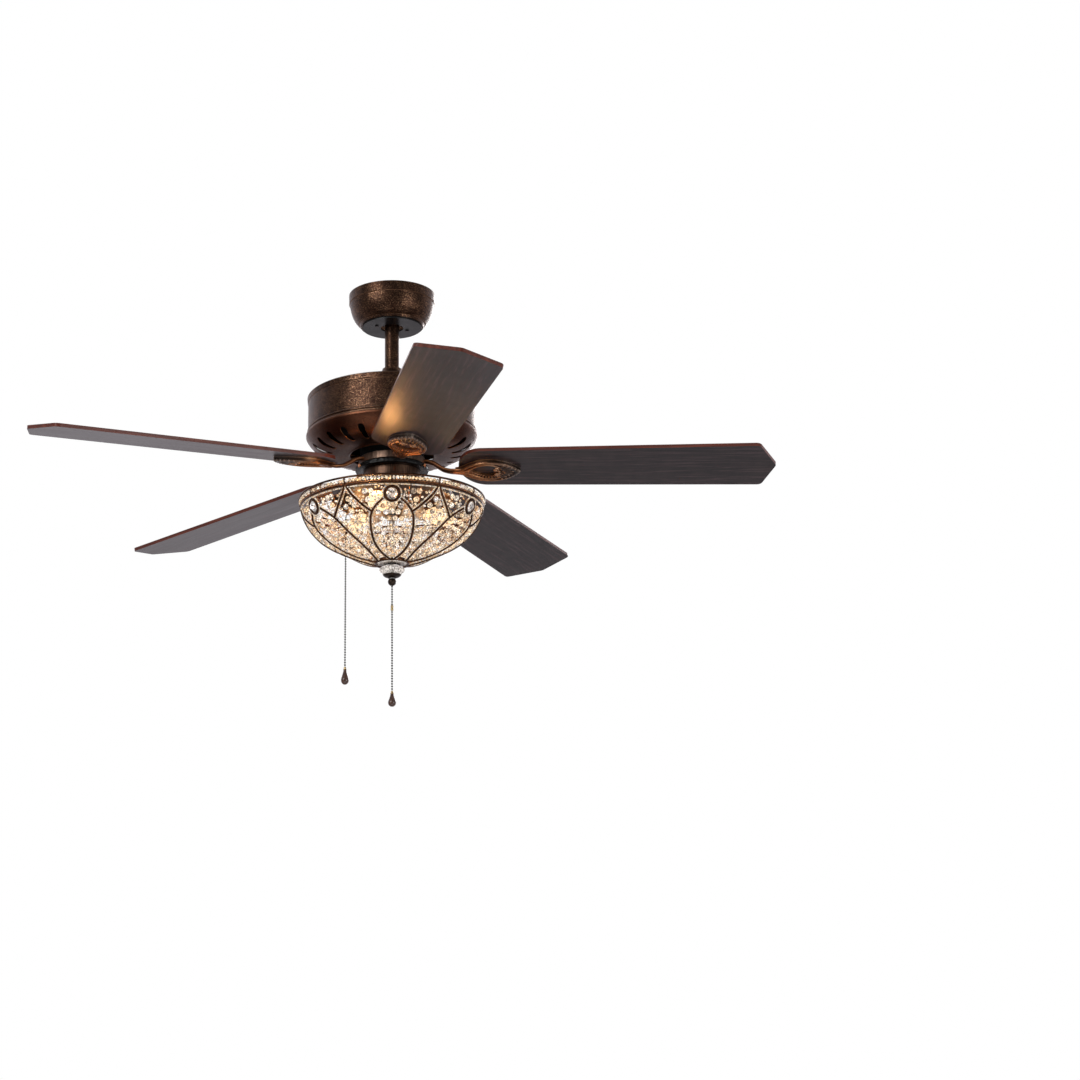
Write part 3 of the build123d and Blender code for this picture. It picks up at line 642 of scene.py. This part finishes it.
def leaf_moulding(count=300):
    """The almond frame: two ridges with a groove between, and ribs that run in to the opening."""
    half = [tuple(q) for q in spline(LEAF, 6)]
    outside = half + [(x, -y) for x, y in half[-2::-1]]
    half = [tuple(q) for q in spline(WINDOW, 8)]
    inside = half + [(x, -y) for x, y in half[-2:0:-1]]
    o, i = bearings(outside, count, LEAF_CENTRE), bearings(inside, count, LEAF_CENTRE)
    run = np.concatenate([[0], np.cumsum(np.linalg.norm(np.diff(i, axis=0), axis=1))])
    points = []
    for share, z in MOULDING:
        wave = np.abs(np.cos(math.pi * RIBS * run / (run[-1] + 0.5)))
        inward = min(1, max(0, (share - RIBS_START) / 0.44))
        depth = RIB_DEPTH * math.sin(math.pi * inward) if share < 1 else 0.0
        edge = 0.55 * wave * (1 if 0.0 < share < 0.12 else 0)
        for k in range(count):
            q = o[k] * (1 - share) + i[k] * share
            points.append((q[0], q[1], z - depth * wave[k] + 0.35 * depth - edge[k] * 0.6))
    rows = len(MOULDING)
    faces = []
    for a in range(rows):
        b = (a + 1) % rows
        for k in range(count):
            m = (k + 1) % count
            faces.append((a * count + k, a * count + m, b * count + m, b * count + k))
    return points, faces


def iron(azimuth):
    s = Soup()
    flat = blade_plane(azimuth)
    upright = turn("Z", azimuth)
    inverse = flat.inverted() @ upright
    level = spline([(x, 0, z) for x, z in ARM], 5)
    # the arm: rope-like ridges that lean into the blade's pitch as they run out, then part round the opening
    for side in (-1, 1):
        for off, size, rail in RIDGES:
            line = []
            for q in level[:-9]:
                share = min(1, max(0, (q[0] - 70) / 40))
                straight = inverse @ Vector((q[0], off * side, q[2]))
                tilted = inverse @ Vector(q) + Vector((0, off * side, 0))
                line.append(straight.lerp(tilted, share))
            line += [Vector((x, y * side, z)) for x, y, z in rail]
            line = evenly(spline(line, 4), 2.4)
            radii = size * np.interp(line[:, 0], (50, 122, 150, 175, 203), (1, 1, 0.84, 0.72, 0.5))
            s.add(rod(line, radii, 10), flat)
    s.add(rod([inverse @ Vector(q) for q in level], 7.3, 14, flat=0.5, up=(0, 0, 1)), flat)
    s.add(leaf_moulding(), flat)
    # scrolls at the far end of the opening, then lobes and beads out to the point
    for side in (-1, 1):
        curl = []
        for t in np.linspace(-1.6, 4.8, 18):
            r = 4.6 * (1 - t / 9)
            curl.append((183.5 + r * math.cos(t), side * (8.6 - r * math.sin(t)), -8.0 - 0.22 * t))
        s.add(rod(curl, np.linspace(1.9, 1.2, 18), 8), flat)
        s.add(ball(2.9, 12, 8), flat @ move(183.6, 8.3 * side, -8.3))
        s.add(ball(2.2, 12, 8), flat @ move(188.6, 3.0 * side, -8.2))
        for x, y, long, wide, lean in LOBES:
            place = flat @ move(x, y * side, -6.9) @ turn("Z", lean * side)
            s.add(ball(1.0, 14, 9), place @ grow(long, wide, 2.3))
        for x, y, r in POINT_BEADS:
            s.add(ball(r, 12, 8), flat @ move(x, y * side, -6.6))
    s.add(ball(1.0, 14, 9), flat @ move(204, 0, -7.0) @ grow(10.5, 2.3, 2.2))
    s.add(ball(3.1, 14, 9), flat @ move(222.2, 0, -6.4) @ grow(1.2, 0.85, 0.9))
    # the foot, one fifth of the ring below the rotor
    half = 36 - math.degrees(0.22 / 49)
    steps, n = 24, len(FOOT)
    points, faces = [], []
    for i in range(steps + 1):
        a = math.radians(-half + 2 * half * i / steps)
        points += [(r * math.cos(a), r * math.sin(a), z) for r, z in FOOT]
    for i in range(steps):
        for k in range(n):
            m = (k + 1) % n
            faces.append((i * n + k, (i + 1) * n + k, (i + 1) * n + m, i * n + m))
    faces.append(tuple(range(n)))
    faces.append(tuple(steps * n + k for k in reversed(range(n))))
    return s, ((points, faces), upright)


drum_black = plain_metal("drum_black", BLACK, 0.2, 0.0, scale=420.0, depth=0.0014, Specular_IOR_Level=0.22)
foot_look = brushed("foot_bronze", (0.10, 0.060, 0.042), (0.27, 0.175, 0.125), 0.34, (500, 500, 60))
for side_name, azimuth in zip(BLADES, AZIMUTHS):
    relief, (foot, place) = iron(azimuth)
    relief.build(f"iron_{side_name}", looks["iron_copper"], "rotor", [f"blade_iron_{side_name}"],
                 "iron_copper", crease=55)
    Soup().add(foot, place).build(f"iron_foot_{side_name}", foot_look, "rotor", slot="iron_copper", crease=35)


# ---- housing trim -------------------------------------------------------------------------------

# the lower housing's outline, from its rim in to its opening
LOWER = ((150.5, -265), (150.3, -268), (147, -273.5), (141.5, -280), (128, -292), (112, -297.6),
         (92, -299.6), (74, -300))
# the vents' narrow and wide ends: (centre radius, end radius)
VENT_IN, VENT_OUT = (108.0, 4.4), (132.8, 6.4)
VENTS, FIRST_VENT = 24, -113


def housing_z(r):
    return float(np.interp(r, [q[0] for q in LOWER[::-1]], [q[1] for q in LOWER[::-1]]))


def vent_outline():
    lean = math.asin((VENT_OUT[1] - VENT_IN[1]) / (VENT_OUT[0] - VENT_IN[0]))
    loop = []
    for (centre, r), angles in ((VENT_IN, np.linspace(math.pi / 2 - lean, 1.5 * math.pi + lean, 12)),
                                (VENT_OUT, np.linspace(-math.pi / 2 + lean, math.pi / 2 - lean, 14))):
        loop += [(centre + r * math.cos(t), r * math.sin(t)) for t in angles]
    return evenly(np.array(loop), 2.2, closed=True)


# a thin lip round each vent, in the lighter bronze: a painted highlight for the lit edge
lips = Soup()
lip = rod([(x, y, housing_z(math.hypot(x, y)) + 0.35) for x, y in vent_outline()], 0.5, 8, closed=True)
for k in range(VENTS):
    lips.add(lip, turn("Z", FIRST_VENT + 360 / VENTS * k))
lips.build("vent_lips", lip_highlight_bronze, "hanging_frame", slot="smooth_bronze")

collar = Soup().add(lathe([(73.4, -299.4), (73.4, -300.6), (74.4, -301.4), (76.0, -301.2), (76.8, -300.2),
                           (76.2, -299.4)], 96, loop=True))
collar.build("housing_lip", looks["smooth_bronze"], "hanging_frame", slot="smooth_bronze")


def drum_ribs(a, r, z):
    return r - (1.1 if -328.6 < z < -322.4 and int(a / TAU * 240) % 2 else 0.0)


drum = [(10.4, -321.5), (61.4, -321.5), (63.2, -322.2), (63.9, -323.2), (63.9, -327.8), (63.2, -328.8),
        (61.4, -329.5), (50.6, -329.5), (46.2, -329.4), (46.2, -324.2), (10.4, -324.0)]
Soup().add(lathe(drum, 240, loop=True, shape=drum_ribs)).build(
    "hub_drum", drum_black, "hanging_frame", ["mounting_plate"], "black_enamel")


# ---- crystal bowl -------------------------------------------------------------------------------

# the petals' edges and the swags beside them: (radius, degrees from the petal's middle)
EDGE = ((28.5, 6.0), (42.0, 15.5), (58.0, 20.3), (78.0, 21.4), (100.0, 19.8), (120.0, 17.5), (134.0, 15.0),
        (143.5, 10.5), (150.0, 4.9))
SWAG = ((136.3, 14.4), (142.0, 18.5), (149.0, 23.0), (154.5, 27.0), (158.0, 29.4))
RIM, SECOND = (161.0, -382.0), (158.4, -395.0)
MEDALLION_AT, MEDALLION_CLEAR = 152.5, 17.5
PEARLS_ROUND_MEDALLION, PEARL_CIRCLE = 34, 16.0
BAND_R, BAND_Z, BAND_BEADS = 158.9, -387.4, 156
COPPER_ROW_Z, COPPER_BEADS = -392.2, 420
STRING_R = 0.4
LOWEST_BAND = -400.5


def bowl_z(r):
    return -367.4 - 131.4 * max(0.0, 1 - (r / 160) ** 1.43) ** (1 / 2.6)


def outward(r, degrees):
    a = math.radians(degrees)
    slope = (bowl_z(r + 0.2) - bowl_z(r - 0.2)) / 0.4
    return Vector((slope * math.cos(a), slope * math.sin(a), -1)).normalized()


def on_bowl(r, degrees, inset=0.0):
    a = math.radians(degrees)
    return Vector((r * math.cos(a), r * math.sin(a), bowl_z(r))) - outward(r, degrees) * inset


def circle(r, z, count):
    return np.array([(r * math.cos(TAU * i / count), r * math.sin(TAU * i / count), z) for i in range(count)])


def medallion_place(azimuth, out=0.0):
    return facing(on_bowl(MEDALLION_AT, azimuth, -out), outward(MEDALLION_AT, azimuth))


wires = Soup()
wires.add(rod(circle(*RIM, 180), 1.75, 12, closed=True))
wires.add(rod(circle(*SECOND, 180), 1.6, 12, closed=True))
halfway = ((RIM[0] + SECOND[0]) / 2 + 0.7, 0, (RIM[1] + SECOND[1]) / 2)
divider = rod([(RIM[0], 0, RIM[1]), halfway, (SECOND[0], 0, SECOND[1])], 1.45, 10)
for i in range(12):
    wires.add(divider, turn("Z", -90 + 30 * i))
lines = []
for middle in PETALS:
    wires.add(rod(circle(12.6, 0, 48), 2.1, 10, closed=True), medallion_place(middle, 0.5))
    wires.add(rod(circle(10.6, 0, 48), 0.9, 8, closed=True), medallion_place(middle, 2.2))
    wires.add(rod([(158.2, 0, -396), (157.4, 0, -401)], 1.4, 8), turn("Z", middle))
    for side in (-1, 1):
        for shape in (EDGE, SWAG):
            run = spline(shape, 8)
            path = np.array([on_bowl(r, middle + side * d) for r, d in run])
            path = evenly(path, 2.6)
            lines.append((shape, middle, side, path))
            wires.add(rod(path, 1.95, 10))
wires.add(lathe([(20.2, -489.6), (29.4, -489.6), (30, -490.2), (30, -494.6), (29.3, -495.2), (26.8, -495.2),
                 (26.6, -494.6), (26.6, -491.8), (20.2, -491.8)], 72, loop=True))
wires.build("bowl_wirework", looks["frame_bronze"], "hanging_frame", ["bowl_frame"], "frame_bronze",
            crease=50)

# pearls lie in rows beside every wire
pearls = Soup()
tiny = cut_crystal(1.5, 1.3, 6, 0.5, 0.2)


def surface_normal(point):
    r = math.hypot(point[0], point[1])
    return outward(min(r, 158.5), math.degrees(math.atan2(point[1], point[0])))


for shape, middle, side, path in lines:
    fine_path = evenly(path, 0.8)
    for beside in (-1, 1):
        row = []
        tangents = np.gradient(fine_path, axis=0)
        for q, t in zip(fine_path, tangents):
            n = surface_normal(q)
            across = Vector(t).normalized().cross(n).normalized()
            row.append(Vector(q) + across * beside * 3.0 - n * 1.2)
        for q in evenly(row, 3.1, ends=False):
            r = math.hypot(q[0], q[1])
            if 31.5 < r < 157.4 and -398.6 > q[2]:
                pearls.add(tiny, facing(q, surface_normal(q), rng.uniform(0, 60)))
for r, z, n in ((157.4, -398.7, 372), (31.2, -488.4, 76)):
    for i in range(n):
        a = 360 * i / n
        pearls.add(tiny, turn("Z", a) @ move(r, 0, z) @ turn("Y", 90) @ turn("Z", rng.uniform(0, 60)))
for middle in PETALS:
    for x, y, z in circle(PEARL_CIRCLE, 0, PEARLS_ROUND_MEDALLION):
        pearls.add(tiny, medallion_place(middle, 0.2) @ move(x, y, z))
pearls.build("bowl_pearls", pearl, "hanging_frame", slot="strung_crystal", smooth=False)

# the band between the two rim wires: round beads, and a thin copper row along the lower wire
band = Soup()
round_bead = lathe([(0, 3.0), (1.5, 2.75), (2.75, 1.3), (3.0, 0), (2.75, -1.3), (1.5, -2.75), (0, -3.0)], 8)
for i in range(BAND_BEADS):
    a = 360 * (i + 0.5) / BAND_BEADS
    spin = turn("Z", rng.uniform(0, 40))
    band.add(round_bead, turn("Z", a) @ move(BAND_R, 0, BAND_Z) @ turn("Y", 11) @ spin)
band.build("rim_bead_row", looks["strung_crystal"], "hanging_frame", slot="strung_crystal", smooth=False)
copper_row = Soup()
grain_bead = ball(1.05, 8, 6)
for i in range(COPPER_BEADS):
    copper_row.add(grain_bead, turn("Z", 360 * i / COPPER_BEADS) @ move(BAND_R, 0, COPPER_ROW_Z))
copper_row.build("rim_copper_row", copper_edge, "hanging_frame", slot="frame_bronze")

# crystals: placed shapes first, then beads in what is left. One sixth is laid out and repeated.
INSET = 3.4
wire_tree_points = [p for _, _, _, path in lines for p in evenly(path, 0.8)]
wire_tree_points += [tuple(q) for q in circle(*SECOND, 900)] + [tuple(q) for q in circle(30, -491, 200)]
wire_tree = kdtree.KDTree(len(wire_tree_points))
for i, q in enumerate(wire_tree_points):
    wire_tree.insert(Vector(q), i)
wire_tree.balance()


def from_wires(q):
    return wire_tree.find(q)[2]


sector = []         # (kind, place, size)
held = []           # (position, radius)


def free(q, r):
    return all((q - h).length > r + s for h, s in held)


def set_in(q, r, degrees, tilt):
    """A matrix at q, facing out of the bowl with a chance spin and lean."""
    place = facing(q, outward(r, degrees), rng.uniform(0, 360))
    return place @ turn("X", rng.uniform(-tilt, tilt)) @ turn("Y", rng.uniform(-tilt, tilt))


def lay(kind, r, lateral, size, middle=-90.0, hold=1.0):
    d = middle + math.degrees(lateral / r)
    q = on_bowl(r, d, INSET)
    sector.append((kind, set_in(q, r, d, 8.0), size))
    held.append((q, size * hold))


# the petal: rows of large crystals with gaps round them, above a rosette
for r, lateral in ((141.0, -15.5), (143.0, -5.2), (143.0, 5.2), (141.0, 15.5), (134.0, -24), (134.0, 24),
                   (133.5, -10.4), (134.6, 0), (133.5, 10.4)):
    lay("big", r, lateral, 4.9, hold=1.22)
for r, lateral in ((124.0, -5.4), (124.0, 5.4), (123.5, -16.5), (123.5, 16.5)):
    lay("big", r, lateral, 4.6, hold=1.2)
lay("rosette", 107.0, 0, 12.0, hold=1.12)
for r, lateral in ((112, -20), (112, 20), (96, -15), (96, 15), (84, 0)):
    lay("big", r, lateral, 4.2)
# beside the petal, under the swags
for r, lateral in ((150.6, 0), (144.2, -8.2), (144.2, 8.2), (137.8, 0), (136.0, -16.5), (136.0, 16.5)):
    lay("big", r, lateral, 4.8, -60.0, hold=1.22)
lay("rosette", 123.5, 0, 11.5, -60.0, hold=1.15)
for r, lateral in ((124, -22), (124, 22), (112, -15), (112, 15), (108, 0)):
    lay("big", r, lateral, 4.2, -60.0, hold=1.1)
# the triangles above the swags
for side in (-1, 1):
    for r, lateral in ((154.4, 37.0), (154.6, 47.6), (148.4, 42.2)):
        lay("big", r, side * lateral, 5.0, hold=1.2)

# beads in what is left: (pitch, radius, from and to this radius on the bowl, share kept)
FILLS = ((7.4, 3.5, 60, 118, 0.72), (5.4, 2.55, 33, 157, 0.86), (3.4, 1.5, 33, 118, 0.55))
NEAR = [medallion_place(a).translation for a in (-150, -90, -30)]


def fits(q, size):
    """True where a bead clears the rim band, the wires, its neighbours and the medallions."""
    return (q.z <= LOWEST_BAND and from_wires(q) >= 4.0 + size * 0.75 and free(q, size * 0.84)
            and min((q - m).length for m in NEAR) >= MEDALLION_CLEAR + size)


for pitch, size, low, high, keep in FILLS:
    r = low
    row = 0
    while r < high:
        slope = (bowl_z(r + 0.2) - bowl_z(r - 0.2)) / 0.4
        n = max(1, int(math.radians(60) * r / pitch))
        extra = 0.3 if r < 95 else -0.14 if r > 112 else 0.0
        for i in range(n):
            d = -120 + 60 * (i + 0.5 * (row % 2) + 0.25) / n
            if rng.random() > keep + extra:
                continue
            rr = r + rng.uniform(-0.12, 0.12) * pitch
            q = on_bowl(rr, d, INSET)
            if fits(q, size):
                place = set_in(q, rr, d, 20)
                sector.append(("cut", place, size * rng.uniform(0.9, 1.02)))
                held.append((q, size * 0.84))
        r += pitch * 0.88 / math.sqrt(1 + slope * slope)
        row += 1

octagon = cut_crystal(1.0, 0.62, 8, 0.55, 0.2)
big_cut = lathe([(0, 0.62), (0.42, 0.60), (0.74, 0.40), (1.0, 0.10), (1.0, -0.10), (0.74, -0.40),
                 (0.42, -0.60), (0, -0.62)], 9)
small_cut = cut_crystal(1.0, 0.8, 6, 0.5, 0.2)
petal_cut = cut_crystal(1.0, 0.5, 6, 0.5, 0.2)
crystals = Soup()
for middle in PETALS:
    step = turn("Z", middle + 90)
    for kind, place, size in sector:
        m = step @ place
        if kind == "cut":
            crystals.add(octagon if size > 3 else small_cut, m @ grow(size))
        elif kind == "big":
            crystals.add(big_cut, m @ grow(size))
        else:
            crystals.add(octagon, m @ move(0, 0, 1.0) @ grow(size * 0.27, size * 0.27, size * 0.3))
            for i in range(8):
                leaf = m @ turn("Z", 45 * i) @ move(size * 0.58, 0, 0) @ turn("Y", 12)
                crystals.add(petal_cut, leaf @ grow(size * 0.30, size * 0.19, size * 0.2))
            for i in range(16):
                edge_bead = m @ turn("Z", 22.5 * i + 11) @ move(size * 0.96, 0, -0.6)
                crystals.add(small_cut, edge_bead @ grow(size * 0.095))
crystals.build("bowl_strung_crystals", looks["strung_crystal"], "hanging_frame", ["bowl_crystals"],
               "strung_crystal", smooth=False)

# the copper stringing that carries them
strings = Soup()
for r in (40, 50, 60, 70, 80, 90, 100, 110, 119, 127, 134, 140, 146, 151, 155):
    q = on_bowl(r, 0, INSET + 1.2)
    strings.add(rod(circle(q.x, q.z, 120), STRING_R, 5, closed=True))
levels = (32, 45, 60, 75, 90, 105, 118, 128, 136, 143, 149, 154, 157)
for i in range(48):
    strings.add(rod([on_bowl(r, 7.5 * i + 3.75, INSET + 1.2) for r in levels], STRING_R, 5))
strings.build("bowl_stringing", copper_edge, "hanging_frame", slot="frame_bronze")

# the medallions: deep cut crystals in their rings
gems = Soup()
gem = lathe([(0, 5.0), (5.4, 5.0), (8.6, 2.6), (10.2, 0.4), (10.2, -0.6), (6.4, -1.5), (0, -1.5)], 12)
for middle in PETALS:
    gems.add(gem, medallion_place(middle) @ turn("Z", 15))
gems.build("medallion_gems", looks["clear_crystal"], "hanging_frame", ["medallion_crystals"], "clear_crystal",
           smooth=False)


# ---- finial -------------------------------------------------------------------------------------

BORE = 5.2


def scallop(lobes, deep, beyond):
    """Shallow waves round the edge, beyond a radius."""
    return lambda a, r, z: r * (1 - deep * (0.5 - 0.5 * math.cos(lobes * a))) if r > beyond else r


def fluted(a, r, z):
    return r * (1 - 0.075 * abs(math.sin(6 * a))) if r > 8 else r


def finial_part(name, outline, sides, look, node, shape=None, smooth=True):
    turned = lathe([tuple(q) for q in outline], sides, loop=True, shape=shape)
    Soup().add(turned).build(name, looks[look], "hanging_frame", [node], look, smooth=smooth)


disc = [(BORE, -492.0), (24.5, -492.0), (26.0, -493.0), (26.0, -494.2), (22.5, -495.5), (BORE, -495.5)]
scallops = [(BORE, -495.7), (14.2, -495.7), (15.0, -496.4), (15.0, -497.6), (13.6, -498.4), (BORE, -498.4)]
bulb = spline([(13.4, -498.7), (18.0, -500.0), (21.2, -503.2), (21.8, -506.0), (20.4, -509.4), (17.2, -512.2),
               (14.2, -513.5)], 2)
dish = spline([(15.2, -513.9), (15.9, -514.6), (15.2, -515.6), (12.4, -517.8), (8.6, -519.2), (6.9, -520.0),
               (6.5, -520.5)], 4)
knob = [(7.2 * math.sin(t), -526.5 + 7.2 * math.cos(t)) for t in np.linspace(0.62, 2.88, 16)]
finial_part("finial_disc", disc, 128, "clear_crystal", "finial_flange", scallop(16, 0.05, 20), smooth=False)
finial_part("finial_scallops", scallops, 144, "black_enamel", "finial_collar", scallop(18, 0.09, 12))
finial_part("finial_flutes", [(BORE, -498.7), *bulb, (BORE, -513.5)], 72, "clear_crystal", "finial_crystal",
            fluted, smooth=False)
finial_part("finial_dish", [(BORE, -513.8), *dish, (BORE, -520.5)], 72, "finial_bronze", "finial_cap")
finial_part("finial_ball", [(1.9, knob[0][1]), *knob, (1.9, knob[-1][1])], 48, "finial_bronze", "finial_knob")


# ---- light, floor and camera --------------------------------------------------------------------

# the studio's brightness from straight down (0) to straight up (1), as the metal and glass see it
LEVELS = ((0.0, 0.50), (0.34, 0.36), (0.50, 0.12), (0.66, 0.34), (1.0, 0.75))
BACKDROP = (0.84, 0.79, 0.84, 1)
LAMP_WATTS = (0.42, 0.12, 0.14)
LAMP_RADIUS, LAMP_Z = 0.095, -0.388
FLOOR_HALF, FLOOR_Z = 9, -2.6

scene = bpy.context.scene
world = bpy.data.worlds.new("studio")
scene.world = world
world.use_nodes = True
tree = world.node_tree
background = tree.nodes["Background"]
link = tree.links.new


def studio_node(kind):
    return tree.nodes.new("ShaderNode" + kind)


background.inputs["Color"].default_value = (1, 1, 1, 1)
sky = studio_node("SeparateXYZ")
link(studio_node("TexCoord").outputs["Generated"], sky.inputs[0])
level = studio_node("ValToRGB")
while len(level.color_ramp.elements) < len(LEVELS):
    level.color_ramp.elements.new(0.5)
for element, (at, grey) in zip(level.color_ramp.elements, LEVELS):
    element.position = at
    element.color = (grey, grey, grey, 1)
half = studio_node("MapRange")
half.inputs[1].default_value = -1.0
link(sky.outputs[2], half.inputs[0])
link(half.outputs[0], level.inputs[0])
path = studio_node("LightPath")
seen = studio_node("Mix")
seen.data_type = "RGBA"
seen.inputs[7].default_value = (1, 1, 1, 1)
link(path.outputs["Is Camera Ray"], seen.inputs[0])
ahead = studio_node("MapRange")
for socket, value in zip(ahead.inputs[1:5], (-0.15, 0.45, 0.0, 1.0)):
    socket.default_value = value
link(sky.outputs[1], ahead.inputs[0])
backdrop = studio_node("Mix")
backdrop.data_type = "RGBA"
backdrop.inputs[7].default_value = BACKDROP
link(ahead.outputs[0], backdrop.inputs[0])
link(level.outputs[0], backdrop.inputs[6])
link(backdrop.outputs[2], seen.inputs[6])
link(seen.outputs[2], background.inputs["Color"])
scene.view_settings.view_transform = "Standard"


def soft_box(name, place, aim, size, power):
    light = bpy.data.lights.new(name, "AREA")
    light.shape = "RECTANGLE"
    light.size, light.size_y = size
    light.energy = power
    obj = bpy.data.objects.new(name, light)
    obj.location = place
    obj.rotation_euler = (Vector(aim) - Vector(place)).to_track_quat("-Z", "Y").to_euler()
    scene.collection.objects.link(obj)


soft_box("key", (-2.2, -2.6, 0.4), (0, 0, -0.3), (1.6, 1.2), 50)
soft_box("fill", (2.6, -2.2, -0.9), (0, 0, -0.35), (1.6, 1.6), 32)
soft_box("under", (0.0, -1.2, -2.3), (0, 0, -0.4), (2.4, 1.6), 11)
soft_box("back", (0.6, 2.8, 0.6), (0, 0, -0.3), (2.0, 1.2), 40)
for i, (azimuth, watts) in enumerate(zip(LAMPS, LAMP_WATTS)):
    lamp = bpy.data.lights.new(f"lamp_{i}", "POINT")
    lamp.energy = watts
    lamp.color = (1.0, 0.47, 0.16)
    lamp.shadow_soft_size = 0.015
    obj = bpy.data.objects.new(f"lamp_{i}", lamp)
    a = math.radians(azimuth)
    obj.location = (LAMP_RADIUS * math.cos(a), LAMP_RADIUS * math.sin(a), LAMP_Z)
    scene.collection.objects.link(obj)
nodes["lamps"].visible_shadow = False

floor_mesh = bpy.data.meshes.new("floor")
corners = [(x * FLOOR_HALF, y * FLOOR_HALF, FLOOR_Z) for x, y in ((-1, -1), (1, -1), (1, 1), (-1, 1))]
floor_mesh.from_pydata(corners, [], [(0, 1, 2, 3)])
p = Paint("floor_paint", rough=0.75)
shade = p.noise(3.0, 3.0)
p.set(Base_Color=p.mix(p.span(shade, 0.3, 0.7, 0.0, 1.0), (0.485, 0.475, 0.485), (0.505, 0.495, 0.505)))
p.bump(p.noise(240.0, 3.0), 0.0004, 0.3)
floor_mesh.materials.append(p.material)
floor = bpy.data.objects.new("floor", floor_mesh)
scene.collection.objects.link(floor)

lens = bpy.data.cameras.new("camera")
lens.lens = 73.8
lens.sensor_width = 36.0
lens.shift_x = 0.137
lens.clip_end = 60
camera = bpy.data.objects.new("camera", lens)
camera.location = (0, -3.685, -1.489)
camera.rotation_euler = (math.radians(90 + 15.72), 0, 0)
scene.collection.objects.link(camera)
scene.camera = camera
